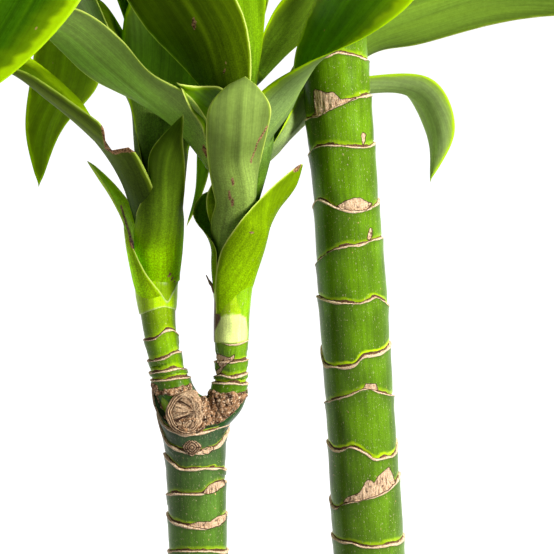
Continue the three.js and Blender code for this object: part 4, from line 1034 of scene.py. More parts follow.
# The stems that grow together: each one's heights, and how much wider it is at its foot and above.
FORK_PARTS = [(TRUNK, 425, 456, -1.3, -1.3), (LEFT, 440, 473, 0.5, 0.5), (RIGHT_SHOOT, 440, 470, -2.2, 1.2)]
FORK_VOXEL = 0.55 * MM
FORK_COLUMNS = 48


def stub_out(turns):
    """Directions in the plane of the sawn face, for turns in radians."""
    return np.cos(turns)[..., None] * STUB_SIDE + np.sin(turns)[..., None] * STUB_UP


def fork_tubes():
    """The ends of the trunk and of both branches, and the stub, as grids of points."""
    turns = np.degrees(radians_round(FORK_COLUMNS))
    for stem, low, high, foot_wider, wider in FORK_PARTS:
        z = np.linspace(low, high, 24)
        radius = stem.radius(z) + foot_wider + (wider - foot_wider) * smoothstep(z, low, low + 18)
        yield stem.axis(z)[:, None] + radius[:, None, None] * outward(turns)
    depth = np.linspace(22, 0.6, 10)[:, None, None]
    radius = np.linspace(13.5, 11.7, 10)[:, None, None]
    yield STUB_FACE - depth * STUB_FACING + radius * stub_out(np.radians(turns))


def fork_blob():
    """The fork's tubes grown together: points and normals in millimetres, and faces."""
    joined = bmesh.new()
    for grid in fork_tubes():
        points, faces = closed_tube(grid * MM)
        corners = [joined.verts.new(point) for point in points]
        for face in faces:
            joined.faces.new([corners[k] for k in face])
    mesh = bpy.data.meshes.new("fork_draft")
    joined.to_mesh(mesh)
    joined.free()
    draft = bpy.data.objects.new("fork_draft", mesh)
    bpy.context.collection.objects.link(draft)
    remesh = draft.modifiers.new("remesh", "REMESH")
    remesh.mode = "VOXEL"
    remesh.voxel_size = FORK_VOXEL
    smooth = draft.modifiers.new("smooth", "SMOOTH")
    smooth.iterations = 6
    smooth.factor = 0.6
    done = bpy.data.meshes.new_from_object(draft.evaluated_get(bpy.context.evaluated_depsgraph_get()))
    bpy.data.objects.remove(draft)
    points = np.empty(len(done.vertices) * 3)
    done.vertices.foreach_get("co", points)
    normals = np.empty(len(done.vertices) * 3)
    done.vertices.foreach_get("normal", normals)
    faces = [list(polygon.vertices) for polygon in done.polygons]
    bpy.data.meshes.remove(done)
    return points.reshape(-1, 3) / MM, normals.reshape(-1, 3), faces


def make_fork():
    """The corky fork: lumps and crevices where the photograph shows cork, dark green skin elsewhere."""
    smooth, normals, faces = fork_blob()
    cork = shown_in(CORK_AREAS, smooth)
    # The crevices are carved into the cork and also painted dark in its pits: painted shade in the
    # crevices, and the ring's own dark brown where DARK_CORK lies.
    crevice = (1 - np.abs(bumps(smooth * (1, 1, 0.7), 2.6, 4))) ** 5
    dark = smoothstep(shown_in([DARK_CORK], smooth), -0.3, 1.2)
    crevice = np.maximum(crevice, dark * (0.75 + 0.35 * bumps(smooth, 1.8, 13)))
    lumps = 0.7 * bumps(smooth, 3.8, 7) + 0.5 * bumps(smooth, 1.5, 5) - crevice + 0.8
    points = smooth + normals * (smoothstep(cork, -0.4, 0.6) * lumps)[:, None]
    tint = painted(tint_by_height(FORK_TINTS)(points), [LIME_STREAK], smooth)
    around = 16 * np.arctan2(points[:, 0] + 51, -points[:, 1])
    marks = skin_marks(around, points[:, 2], tint, cork=cork, pit=crevice)
    finish_piece(piece_of("fork", points * MM, faces, marks, [SKIN]), "cane", "forked_cane")


def make_stub_face():
    """The sawn disc: cracks that fan out over it, and curled rims round its edge."""
    turns = radians_round(144)
    out = np.concatenate([[0.02, 0.6], np.arange(1.4, 8.4, 0.9), np.arange(8.5, 12.7, 0.22)])
    r, t = np.meshgrid(out, turns, indexing="ij")
    flat = np.stack([r * np.cos(t), r * np.sin(t), 0 * r], -1)
    near = r + 0.45 * bumps(flat, 5, 2)
    rimmed = smoothstep(np.cos(t - RIM_TURN), -0.35, 0.1)
    grooves = sum(np.exp(-(((near - place) / 0.26) ** 2)) for place in RIM_GROOVES) * rimmed
    fan = flat[..., :2] - FAN_MIDDLE
    fan_out = np.linalg.norm(fan, axis=-1)[..., None]
    fan = fan / np.maximum(fan_out, 0.01)
    rays = bumps(np.concatenate([fan * 6, fan_out * 0.12], -1), 1.0, 6)
    height = 0.6 * rays * smoothstep(r, 0.5, 3) * (1 - smoothstep(r, 8, 9))
    height = height + 1.0 - 0.9 * (r / STUB_RADIUS) ** 2 - 0.8 * grooves + 0.35 * bumps(flat, 1.6, 9)
    height = height - 1.8 * smoothstep(r, 11.7, 12.6)
    flank = 1 - 0.26 * smoothstep(np.cos(t), 0.1, 1.0) + 0.03 * bumps(flat, 3.0, 12)
    face = STUB_FACE + height[..., None] * STUB_FACING + (r * flank)[..., None] * stub_out(t)
    back = STUB_FACE - STUB_BACK_DEPTH * STUB_FACING + STUB_BACK_RADIUS * stub_out(turns)
    marks = {
        "along": backed(r), "ring": backed(np.clip(grooves, 0, 1)),
        "turn": backed(np.concatenate([fan, fan_out * 0.05], -1)),
    }
    piece = tube_piece("stub_face", np.concatenate([face, back[None]])[::-1], marks, SAWN)
    finish_piece(piece, "cane", "forked_cane")


BUD_PIXEL = (192, 447)
BUD_RADIUS = 5.4
BUD_ROUNDNESS = 1.3
BUD_RINGS = 4


def make_bud_scar():
    """The sleeping bud on the trunk under the stub: a low brown diamond with rings in it."""
    seat, out = TRUNK.seat(*BUD_PIXEL)
    side = np.cross((0, 0, 1), out)
    turns = radians_round(72)
    r, t = np.meshgrid(np.linspace(0.02, 1, 26), turns, indexing="ij")
    reach = np.abs(np.cos(t)) ** BUD_ROUNDNESS + np.abs(np.sin(t)) ** BUD_ROUNDNESS
    away = BUD_RADIUS * r / reach ** (1 / BUD_ROUNDNESS)
    flat = np.stack([away * np.cos(t), away * np.sin(t), 0 * t], -1)
    rings = 0.5 + 0.5 * np.cos(r * BUD_RINGS * 2 * math.pi + 0.8 * bumps(flat, 2.0, 3))
    lift = 0.9 + 1.3 * (1 - r**2) - 0.45 * rings * smoothstep(r, 0.1, 0.3) - 0.5 * smoothstep(r, 0.9, 1)
    lift = lift + 0.25 * bumps(flat, 1.4, 4) - flat[..., 0] ** 2 / (2 * TRUNK.radius(seat[2]))
    face = seat + lift[..., None] * out + flat[..., :1] * side + flat[..., 1:2] * (0, 0, 1)
    back = seat - 4 * out + 0.8 * (flat[-1, :, :1] * side + flat[-1, :, 1:2] * (0, 0, 1))
    marks = {
        "along": backed(away), "ring": backed(smoothstep(rings, 0.5, 0.9)),
        "turn": backed(np.stack([np.cos(t), np.sin(t), r], -1)),
    }
    piece = tube_piece("bud_scar", np.concatenate([face, back[None]])[::-1], marks, SAWN)
    finish_piece(piece, "cane", "forked_cane")


# ---- Leaves -------------------------------------------------------------------------------------

BLADE_SOLID_THICKNESS = 0.9 * MM
WELD = 0.01 * MM


def solid_sheet(node):
    """A leaf solid's middle surface: its points, and its triangles as sets of three indices.

    The solid has two alike faces, each point of one standing 0.9 mm from its twin in the other."""
    body = bmesh.new()
    body.from_mesh(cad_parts[node].data)
    bmesh.ops.remove_doubles(body, verts=body.verts, dist=WELD)
    body.verts.index_update()
    places = np.array([vert.co for vert in body.verts])
    faces = [[vert.index for vert in face.verts] for face in body.faces]
    body.free()
    gaps = np.linalg.norm(places[:, None] - places[None], axis=-1)
    twin = np.abs(gaps - BLADE_SOLID_THICKNESS).argmin(1)
    assert (twin[twin] == np.arange(len(twin))).all(), f"{node}: its two faces don't match"
    first = np.minimum(np.arange(len(twin)), twin)
    names, index = np.unique(first, return_inverse=True)
    triangles = {frozenset(int(index[k]) for k in face) for face in faces}
    return (places[names] + places[twin[names]]) / 2, [cell for cell in triangles if len(cell) == 3]


def linked(edges):
    """The vertices at the other ends of each vertex's edges."""
    ends = {}
    for a, b in edges:
        ends.setdefault(a, []).append(b)
        ends.setdefault(b, []).append(a)
    return ends


def sheet_sides(node, thirds, neighbours):
    """The four sides of a sheet, each a row of vertices. A corner has fewer than four neighbours."""
    border = linked(edge for edge, corners in thirds.items() if len(corners) == 1)
    start = next(k for k in sorted(border) if len(neighbours[k]) == 2)
    loop = [start, border[start][0]]
    while len(loop) < len(border):
        a, b = border[loop[-1]]
        loop.append(b if a == loop[-2] else a)
    corners = [k for k, vertex in enumerate(loop) if len(neighbours[vertex]) < 4]
    assert len(corners) == 4, f"{node}: its sheet has {len(corners)} corners"
    ends = corners[1:] + [len(loop)]
    return [[loop[k % len(loop)] for k in range(first, last + 1)] for first, last in zip(corners, ends)]


def sheet_of(node):
    """A leaf's middle surface as a grid of points, its foot first, read back from its solid.

    The cells of the solid's grid are all split the same way, which tells its corners apart."""
    middle, triangles = solid_sheet(node)
    thirds = {}
    for triangle in triangles:
        for corner in triangle:
            thirds.setdefault(triangle - {corner}, []).append(corner)
    neighbours = linked(thirds)
    sides = sheet_sides(node, thirds, neighbours)
    ends = sorted(sides, key=len)[:2]
    foot = max(ends, key=lambda row: np.linalg.norm(np.diff(middle[row], axis=0), axis=1).sum())
    if len(neighbours[foot[0]]) == 2:
        foot = foot[::-1]
    column = next(side for side in sides if foot[0] in side and side is not foot and len(side) != len(foot))
    if column[0] != foot[0]:
        column = column[::-1]
    grid = [column]
    for _ in range(len(foot) - 1):
        left = grid[-1]
        fresh = [None]
        for low, high in zip(left[:-1], left[1:]):
            known = {low, high} | (set(grid[-2]) if len(grid) > 1 else set())
            (corner,) = [k for k in thirds[frozenset((low, high))] if k not in known]
            fresh.append(corner)
        (fresh[0],) = [k for k in thirds[frozenset((left[0], fresh[1]))] if k != left[1]]
        grid.append(fresh)
    assert [column[0] for column in grid] == foot, f"{node}: its foot row doesn't close"
    return middle[np.array(grid).T]


# Each leaf's colours: its underside, its upper face and its clasping foot, and where the foot's
# colour has given way to the blade's, in millimetres from the node. Beside each leaf's own green,
# these colours carry painted light and shade: leaves that face away from the lamp are brighter,
# and leaves that lie in shade darker.
GREEN = (84, 122, 24)
DEEP = (46, 80, 12)
FRESH = (128, 170, 24)
DULL = (108, 136, 66)
YOUNG = (140, 188, 40)
LEAF_COLORS_WITH_PAINTED_LIGHT = {
    "left_leaf_01": ((196, 232, 24), (198, 234, 28), (194, 236, 8), 30),
    "left_leaf_02": ((108, 142, 26), (84, 126, 10), (172, 222, 2), 34),
    "left_leaf_03": ((118, 140, 44), (60, 104, 4), (42, 72, 8), 66),
    "left_leaf_04": ((156, 184, 108), (80, 126, 8), (100, 136, 40), 40),
    "left_leaf_05": ((140, 176, 16), (104, 152, 10), GREEN, 40),
    "left_leaf_06": ((150, 182, 80), (110, 150, 30), DEEP, 40),
    "left_leaf_07": ((60, 108, 0), (60, 108, 0), GREEN, 40),
    "right_leaf_01": ((130, 166, 4), (100, 146, 4), (152, 196, 4), 34),
    "right_leaf_02": ((150, 176, 82), (96, 136, 14), (104, 142, 36), 28),
    "right_leaf_03": ((108, 150, 0), (104, 150, 0), (160, 190, 10), 30),
    "right_leaf_04": ((190, 216, 116), (168, 214, 68), (120, 160, 20), 50),
    "right_leaf_05": ((140, 168, 92), (94, 152, 4), (96, 136, 30), 50),
    "right_leaf_06": ((176, 200, 120), (168, 192, 104), (76, 110, 30), 50),
    "right_leaf_07": ((118, 150, 48), (84, 126, 10), (60, 96, 16), 60),
    "right_leaf_08": ((84, 112, 4), (56, 84, 2), (84, 112, 14), 40),
    "right_leaf_09": ((130, 176, 10), (100, 150, 4), GREEN, 40),
    "right_leaf_10": ((110, 144, 30), (70, 112, 6), GREEN, 40),
    "right_leaf_11": ((120, 172, 4), (120, 172, 4), GREEN, 30),
}
CROWN_COLORS = (DULL, (66, 106, 18), FRESH, 40)

# Dry brown places: the leaf, the pixels between which the place runs, and its half width in
# millimetres.
DRY_PLACES = [
    ("left_leaf_03", (103, 127), (107, 146), 1.5),
    ("left_leaf_03", (107, 147), (114, 151), 1.7),
    ("left_leaf_03", (114, 151), (130, 149), 1.8),
    ("left_leaf_03", (130, 149), (138, 151), 1.2),
    ("left_leaf_01", (121, 206), (131, 240), 0.6),
    ("left_leaf_01", (131, 240), (133, 248), 1.2),
    ("left_leaf_02", (169, 272), (174, 282), 0.8),
    ("right_leaf_02", (267, 127), (258, 142), 0.55),
    ("right_leaf_02", (258, 142), (250, 164), 0.45),
    ("right_leaf_02", (231, 178), (233, 184), 0.9),
    ("right_leaf_02", (228, 192), (233, 204), 1.0),
    ("right_leaf_04", (204, 148), (208, 156), 1.3),
    ("right_leaf_08", (193, 20), (195, 28), 1.1),
    ("right_leaf_08", (224, 71), (225, 74), 0.8),
    ("right_leaf_01", (250, 231), (254, 233), 0.6),
    ("right_leaf_01", (299, 165), (296, 170), 1.4),
]

# The lime margin's breadth in millimetres along the first and the last column of a leaf, on its
# upper face and on its underside.
LIME_EDGE = ((0.9, 0.9), (0.7, 0.7))
LIME_EDGES = {
    "left_leaf_03": ((2, 5), (1.2, 1.2)),
    "left_leaf_05": ((1.5, 1.5), (2, 2)),
    "left_leaf_06": ((3, 3), (2, 2)),
    "left_leaf_07": ((6, 6), (6, 2)),
    "right_leaf_05": ((1.2, 9), (1.2, 2.5)),
    "right_leaf_06": ((1.2, 1.6), (1.2, 1.6)),
    "right_leaf_09": ((2, 2), (2, 2)),
    "right_leaf_10": ((4, 3), (2.5, 2)),
}

# How far parts of a leaf are moved to stand where the photograph has them. For a column of its grid,
# the first, the middle or the last, and a row counted from the foot, the move is in pixels to the
# right and down. For "away" it is in millimetres away from the viewer, for the whole row, and for
# "near_last" the same but fading out from the last column to the middle.
NUDGES = {
    "left_leaf_01": {"first": {3: (-3, 2)}, "last": {2: (-3, 0), 3: (-4, 3), 4: (-1, 4)}},
    "left_leaf_02": {
        "away": {3: 1, 4: 6, 5: 12, 6: 14, 7: 10, 8: 5},
        "first": {0: (3, 0), 2: (4, 0), 3: (6, 0), 4: (5, 0), 5: (3, 0), 6: (2, 0)},
        "last": {4: (5, 8), 5: (4, 2), 6: (-1, 2), 7: (4, 2), 8: (-5, 5), 9: (-7, 1)},
    },
    "left_leaf_03": {"last": {5: (-8, 8)}},
    "left_leaf_05": {
        "mid": {7: (4, 4), 8: (12, 2), 9: (3, -2)},
        "last": {7: (12, 10), 8: (29, 4), 9: (7, -5)},
    },
    "left_leaf_06": {
        "first": {5: (0, 0), 6: (6, 0), 7: (11, 0), 8: (4, 0)},
        "last": {4: (0, 0), 5: (-4, 0), 6: (-8, 0), 7: (-12, 0), 8: (-15, 0), 9: (-12, 0)},
    },
    "left_leaf_07": {"first": {7: (20, 10), 8: (34, 8), 9: (16, 6)}, "mid": {8: (14, 4), 9: (6, 2)}},
    "right_leaf_01": {
        "near_last": {4: -3, 5: -8, 6: -10, 7: -9, 8: -6},
        "first": {5: (2, -6), 6: (-8, -12), 7: (-16, 13), 8: (-14, 26), 9: (6, 4)},
        "mid": {4: (4, 0), 5: (8, 0), 6: (10, 0), 7: (12, 0), 8: (4, 0)},
        "last": {0: (-9, 0), 2: (-9, 0), 3: (-9, 0), 4: (-8, 0), 5: (-6, -3), 6: (-3, -14), 7: (-1, -14),
                 8: (-2, -14), 9: (-1, -8)},
    },
    "right_leaf_02": {
        "away": {3: 2, 4: 5, 5: 13, 6: 18, 7: 15, 8: 8, 9: 2},
        "first": {4: (0, 0), 5: (-3, 0), 6: (-4, 0), 7: (5, 0), 8: (7, -2), 9: (6, -4)},
        "mid": {10: (3, 0)},
        "last": {5: (-2, 0), 6: (-10, 0), 7: (-9, 0), 8: (-6, -1), 9: (-5, -4)},
    },
    "right_leaf_06": {"first": {7: (0, -4), 8: (-4, -2)}, "last": {7: (0, 3), 8: (3, -4)}},
    "right_leaf_05": {"away": {2: 2, 3: 8, 4: 20, 5: 20, 6: 16, 7: 6}},
    "right_leaf_03": {
        "away": {4: 3, 5: 12, 6: 22, 7: 22, 8: 10},
        "first": {8: (3, 1), 9: (-2, 3)},
        "mid": {8: (0, -8)},
        "last": {7: (0, -8), 8: (-4, -25), 9: (3, -9)},
    },
    "right_leaf_04": {
        "first": {5: (-3, -12), 6: (-6, 0), 7: (-4, -2)},
        "mid": {4: (-2, 8), 5: (-3, 4), 6: (-4, 8), 7: (-4, 10), 8: (2, 8)},
        "last": {4: (-6, 20), 5: (-4, 17), 6: (-5, 18), 7: (-5, 24), 8: (5, 18)},
    },
    "right_leaf_08": {"last": {3: (-10, -8), 4: (-6, 6), 5: (-3, 4)}},
    "right_leaf_11": {"last": {7: (5, 0), 8: (8, 0), 9: (2, 0)}},
    "right_leaf_09": {"first": {4: (-14, -4), 5: (-16, 0), 6: (-18, 0), 7: (-14, 0)}},
}


def nudged(sheet, nudges):
    """The sheet with its named places moved to where the photograph has them."""
    rows, columns = sheet.shape[:2]
    side = np.linspace(-1, 1, columns)
    reaches = {"first": np.maximum(-side, 0), "mid": 1 - np.abs(side), "last": np.maximum(side, 0)}
    reaches = {**reaches, "away": np.ones(columns), "near_last": reaches["last"]}
    for name, moves in nudges.items():
        deep = name in ("away", "near_last")
        moves = {row: (0, 0, move) if deep else (*move, 0) for row, move in moves.items()}
        moves = {0: (0, 0, 0), rows - 1: (0, 0, 0), **moves}
        keys = sorted(moves)
        across, down, away = (
            np.interp(np.arange(rows), keys, [moves[row][k] for row in keys]) for k in range(3)
        )
        shift = PIXEL * (np.outer(across, RIGHT) - np.outer(down, UP)) + np.outer(away * MM, (0, 1, 0))
        sheet = sheet + shift[:, None] * reaches[name][None, :, None]
    return sheet


# Pieces torn out of a margin: the leaf, its torn side (0 the first column, -1 the last) and the
# outline of the gap in pixels.
TORN = {
    "left_leaf_03": (0, [
        (98, 118), (112, 118), (148, 140), (134, 152), (128, 147), (113, 151), (106, 146), (104, 130),
    ]),
}


def resampled(row, shares, places):
    """The points of a row at new places along it."""
    return np.stack([np.interp(places, shares, row[:, k]) for k in range(3)], -1)


def torn(sheet, side, gap):
    """The sheet with the rows on one side drawn in to the edge of a gap."""
    half = sheet.shape[1] // 2
    part = sheet[:, half::-1] if side == 0 else sheet[:, half:]
    shares = np.linspace(0, 1, part.shape[1])
    fine = np.linspace(0, 1, 80)
    drawn = []
    for row in part:
        dense = resampled(row, shares, fine)
        lost = inside(gap, pixels_of(dense)) > 0
        keep = fine[lost.argmax()] if lost.any() and fine[lost.argmax()] > 0.2 else 1.0
        drawn.append(resampled(dense, fine, shares * keep))
    drawn = np.array(drawn)
    if side == 0:
        return np.concatenate([drawn[:, ::-1], sheet[:, half + 1 :]], axis=1)
    return np.concatenate([sheet[:, :half], drawn], axis=1)


# The leaves whose feet lie inside a sheath: the shoot, and the share of the way out they keep.
TUCKED = {"left_leaf_01": (LEFT, 0.84), "left_leaf_02": (LEFT, 0.92), "right_leaf_01": (RIGHT_SHOOT, 0.93)}


def way_along(sheet):
    """Each row's distance from the foot of a sheet."""
    return np.concatenate([[0], np.cumsum(np.linalg.norm(np.diff(sheet, axis=0), axis=2).mean(1))])


def tucked(sheet, stem, keep):
    """The sheet with its foot drawn in towards the stem."""
    share = (keep + (1 - keep) * smoothstep(way_along(sheet), 5 * MM, 16 * MM))[:, None, None]
    middle = stem.axis(sheet[..., 2] / MM) * MM
    return np.concatenate([(middle + (sheet - middle) * share)[..., :2], sheet[..., 2:]], -1)


def evened(sheet, along, reach=4 * MM):
    """The sheet with its rows smoothed along the leaf, but not at its foot or its tip."""
    gap = (along[:, None] - along[None, :]) / reach
    weight = np.exp(-(gap**2) / 2)
    edge = np.minimum(along, along[-1] - along)
    weight = weight * (np.abs(gap) * reach <= edge[:, None] + 1e-9)
    weight = weight / weight.sum(1, keepdims=True)
    return np.einsum("ij,jkl->ikl", weight, sheet)


def refined(sheet, row_step, columns):
    """The sheet read off at evenly spaced rows and columns, with each row's way along the leaf."""
    knots = way_along(sheet)
    count = max(12, round(knots[-1] / row_step))
    along = np.linspace(0, knots[-1], count + 1)
    fine = spline(sheet, knots, along).transpose(1, 0, 2)
    fine = spline(fine, np.linspace(-1, 1, sheet.shape[1]), np.linspace(-1, 1, columns + 1))
    return fine.transpose(1, 0, 2), along


def sheet_normals(sheet):
    normal = np.cross(np.gradient(sheet, axis=1), np.gradient(sheet, axis=0))
    return normal / np.maximum(np.linalg.norm(normal, axis=-1, keepdims=True), 1e-12)


# The step between a leaf's rows and its number of cells across: finer where the photograph shows it.
SEEN_GRID = (2.0 * MM, 28)
CROWN_GRID = (3.5 * MM, 16)
TIP_ROUNDING = 0.955
KEEL_DEPTH = 0.5 * MM
KEEL_WIDTH = 1.6 * MM
RIB_HEIGHT = 0.05 * MM
RIBS_IN_MM = 2.4
MARGIN_WIDTH = 1.2 * MM


def leaf_sheet(node):
    """A leaf's fine middle surface, and each row's way along the leaf."""
    row_step, columns = SEEN_GRID if node in LEAF_COLORS_WITH_PAINTED_LIGHT else CROWN_GRID
    sheet = nudged(sheet_of(node), NUDGES.get(node, {}))
    if node in TUCKED:
        sheet = tucked(sheet, *TUCKED[node])
    sheet, along = refined(sheet, row_step, columns)
    sheet = evened(sheet, along)
    rounding = np.sqrt(1 - 0.9996 * smoothstep(along / along[-1], TIP_ROUNDING, 1.0) ** 2)
    middle = sheet[:, columns // 2][:, None]
    sheet = middle + (sheet - middle) * rounding[:, None, None]
    if node in TORN:
        sheet = torn(sheet, *TORN[node])
    return sheet, along


def blade_faces(rows, columns):
    """Faces of a blade, its upper points before its lower ones, and which material each face has."""
    count = rows * columns
    quads = grid_faces(rows, columns)
    faces = [*quads.tolist(), *(quads[:, ::-1] + count).tolist()]
    places = np.arange(count).reshape(rows, columns)
    border = np.concatenate([places[0], places[1:, -1], places[-1, -2::-1], places[-2:0:-1, 0]]).tolist()
    for a, b in zip(border, border[1:] + border[:1]):
        faces.append([b, a, a + count, b + count])
    return faces, [0] * len(quads) + [1] * len(quads) + [0] * len(border)


def dryness(node, points):
    """How dry a leaf's points are: 1 in the middle of a dry place and 0 away from it."""
    seen = pixels_of(points)
    dry = np.zeros(len(points))
    for leaf, start, end, size in DRY_PLACES:
        if leaf == node:
            near = gap_to_line(seen, np.array(start, float), np.array(end, float)) * PIXEL / MM
            dry = np.maximum(dry, 1 - smoothstep(near, 0.5 * size, 1.3 * size))
    return dry


def make_leaf(node, seed):
    """A thin blade over the leaf's middle surface, sunk along its midrib and finely ribbed."""
    under_color, upper_color, foot_color, foot_end = LEAF_COLORS_WITH_PAINTED_LIGHT.get(node, CROWN_COLORS)
    sheet, along = leaf_sheet(node)
    rows, columns = sheet.shape[:2]
    steps = np.linalg.norm(np.diff(sheet, axis=1), axis=2)
    reach = np.concatenate([np.zeros((rows, 1)), np.cumsum(steps, axis=1)], axis=1)
    across = reach - reach[:, columns // 2][:, None]
    margin = np.minimum(reach, reach[:, -1:] - reach)
    way = np.repeat(along[:, None], columns, 1)
    share = way / along[-1]
    full = smoothstep(share, 0.1, 0.35) * (1 - smoothstep(share, 0.85, 1.0))
    keel = -KEEL_DEPTH * np.exp(-((across / KEEL_WIDTH) ** 2)) * full
    ribs = RIB_HEIGHT * np.sin(across / MM * RIBS_IN_MM + seed) * full
    sheet = sheet + sheet_normals(sheet) * (keel + ribs)[..., None]
    thick = (0.16 + 0.16 * np.exp(-((across / (5 * MM)) ** 2)) + 0.1 * (1 - smoothstep(way, 0, 0.05))) * MM
    half = sheet_normals(sheet) * (thick * (0.35 + 0.65 * smoothstep(margin, 0, MARGIN_WIDTH)))[..., None]
    points = np.concatenate([(sheet + half).reshape(-1, 3), (sheet - half).reshape(-1, 3)])
    faces, kinds = blade_faces(rows, columns)
    blend = smoothstep(way, 0.3 * foot_end * MM, 1.6 * foot_end * MM).reshape(-1, 1)
    foot = linear(foot_color) * (1 - blend)
    tints = [foot + linear(color) * blend for color in (upper_color, under_color)]
    edges = LIME_EDGES.get(node, LIME_EDGE)
    marks = {
        "across": np.tile(across.ravel(), 2) / MM,
        "along": np.tile(way.ravel(), 2) / MM,
        "margin": np.tile(margin.ravel(), 2) / MM,
        "tint": np.concatenate(tints),
        "dry": dryness(node, points),
        "seed": np.full(len(points), float(seed)),
        "edge": np.concatenate([np.tile(np.linspace(*breadths, columns), rows) for breadths in edges]),
    }
    piece = piece_of(node + "_blade", points, faces, marks, [UPPER, UNDER], kinds)
    finish_piece(piece, "leaf", node)


# ---- Hearts -------------------------------------------------------------------------------------

HEART_LIP = 0.2
HEART_COLUMNS = 72
HEART_ROWS = 70
HEART_FOOT = (176, 208, 60)


def heart_rings(solid):
    """The heights, middles and girths of the rings that a heart's solid is made of."""
    levels, middles, girths = [], [], []
    for z in np.unique(np.round(solid[:, 2], 1)):
        ring = solid[np.abs(solid[:, 2] - z) < 0.2]
        middle = ring[:, :2].mean(0)
        girth = np.linalg.norm(ring[:, :2] - middle, axis=1).max()
        if len(ring) > 4 and (not levels or z - levels[-1] > 1) and girth > 0.2:
            levels.append(z)
            middles.append(middle)
            girths.append(girth)
    return levels, middles, girths


def make_heart(node, seed):
    """The youngest leaf, still rolled up: its outer margin winds up a slim spindle as a lip."""
    solid = np.array([vertex.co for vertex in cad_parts[node].data.vertices]) / MM
    levels, middles, girths = heart_rings(solid)
    low, high = solid[:, 2].min(), solid[:, 2].max()
    z = np.linspace(low, high, HEART_ROWS)
    share = (z - low) / (high - low)
    middle = spline(middles, levels, z)[:, None]
    girth = (np.interp(z, levels, girths) * (1 - 0.8 * smoothstep(z, high - 6, high)))[:, None]
    roll = np.append(np.linspace(0, 2 * math.pi, HEART_COLUMNS), 2 * math.pi)
    shape = np.append(1 - HEART_LIP * (1 - roll[:-1] / (2 * math.pi)), 1 - HEART_LIP)
    turn = roll + (seed + 1.1 * share * math.pi)[:, None]
    flat = middle + (girth * shape)[..., None] * np.stack([np.cos(turn), np.sin(turn)], -1)
    points = np.concatenate([flat, np.repeat(z[:, None], len(roll), 1)[..., None]], -1)
    from_lip = (2 * math.pi - roll) * girth
    fade = smoothstep(share, 0.0, 0.5)[:, None, None]
    tint = linear(YOUNG) * fade + linear(HEART_FOOT) * (1 - fade) + np.zeros(points.shape)
    plain = np.ones(from_lip.shape)
    marks = {
        "across": from_lip, "along": points[..., 2] - low, "margin": from_lip, "tint": tint,
        "dry": 0 * plain, "seed": seed * plain, "edge": 0.8 * plain,
    }
    finish_piece(tube_piece(node + "_roll", points, marks, UNDER), "young_leaf", node)


# ---- Pot and soil -------------------------------------------------------------------------------

# The pot's outline, as radius and height, from the middle of its underside to its inner floor.
POT_PROFILE = [
    (60, 0), (91, 0), (94, 1), (95.4, 3.5), (97, 16), (110, 100), (121.6, 176), (123.8, 183),
    (125.4, 183.6), (128.2, 184.4), (129.4, 186.4), (131.4, 198), (132.9, 206.5), (132.2, 208.8),
    (130.4, 210), (127, 210), (124.2, 209.6), (122.2, 207.6), (121.4, 200), (115, 155), (105, 95),
    (91, 10), (89, 8), (50, 8),
]
POT_COLUMNS = 128


def make_pot():
    """The pot's outline turned round, a little uneven like thrown clay."""
    profile = np.array([(0, 0), *POT_PROFILE, (0, POT_PROFILE[-1][1])], float)
    knots = np.concatenate([[0], np.cumsum(np.linalg.norm(np.diff(profile, axis=0), axis=1))])
    dense = np.sort(np.concatenate([knots, (knots[:-1] + knots[1:]) / 2]))[1:-1]
    r = np.interp(dense, knots, profile[:, 0])
    z = np.interp(dense, knots, profile[:, 1])
    turns = radians_round(POT_COLUMNS)
    heights = np.repeat(z[:, None], POT_COLUMNS, 1)
    grid = np.stack([np.outer(r, np.cos(turns)), np.outer(r, np.sin(turns)), heights], -1)
    uneven = 0.25 * bumps(grid * (1, 1, 4), 40, 1)
    grid[..., :2] *= 1 + uneven[..., None] / 100
    finish_piece(tube_piece("clay_pot", grid, {}, TERRACOTTA), "terracotta", "pot")


POT_INSIDE = 117.5
CANE_PLACES = ((55, 30), (-50, 0))
CANE_HEAP_AT = 20
CANE_HEAP_WIDTH = 9
SOIL_COLUMNS = 220
SOIL_RINGS = 84


def soil_height(x, y):
    """The soil's surface, in millimetres: a gentle heap of crumbs, low against the pot."""
    places = np.stack([x, y, np.zeros_like(x)], -1)
    height = 2.2 * bumps(places, 26, 1) + 1.5 * bumps(places, 9, 2) + 0.9 * bumps(places, 4, 3)
    for cane_x, cane_y in CANE_PLACES:
        away = np.hypot(x - cane_x, y - cane_y)
        height = height + 2.5 * np.exp(-(((away - CANE_HEAP_AT) / CANE_HEAP_WIDTH) ** 2))
    return SOIL_LEVEL - 1 + height * (1 - 0.7 * smoothstep(np.hypot(x, y), 108, 118))


# The rings of the soil's body below its surface: how far in from the pot's wall, and the height.
SOIL_BODY = [(22, 40), (10, 110)]


def make_soil():
    below = [POT_INSIDE - inward for inward, _ in SOIL_BODY]
    out = np.concatenate([below, [POT_INSIDE], np.linspace(POT_INSIDE - 0.5, 1.0, SOIL_RINGS)])
    r, t = np.meshgrid(out, radians_round(SOIL_COLUMNS), indexing="ij")
    x, y = r * np.cos(t), r * np.sin(t)
    z = soil_height(x, y)
    z[: len(SOIL_BODY)] = [[height] for _, height in SOIL_BODY]
    finish_piece(tube_piece("compost", np.stack([x, y, z], -1), {}, SOIL), "soil", "potting_soil")


# The crumbs' colours: dark peat, brown bark, pale bark and perlite, each with its share.
CRUMB_KINDS = [((48, 34, 25), 0.5), ((96, 68, 46), 0.25), ((132, 100, 70), 0.15), ((226, 220, 206), 0.1)]
CRUMBS = 620
CRUMB_REACH = 0.97 * POT_INSIDE


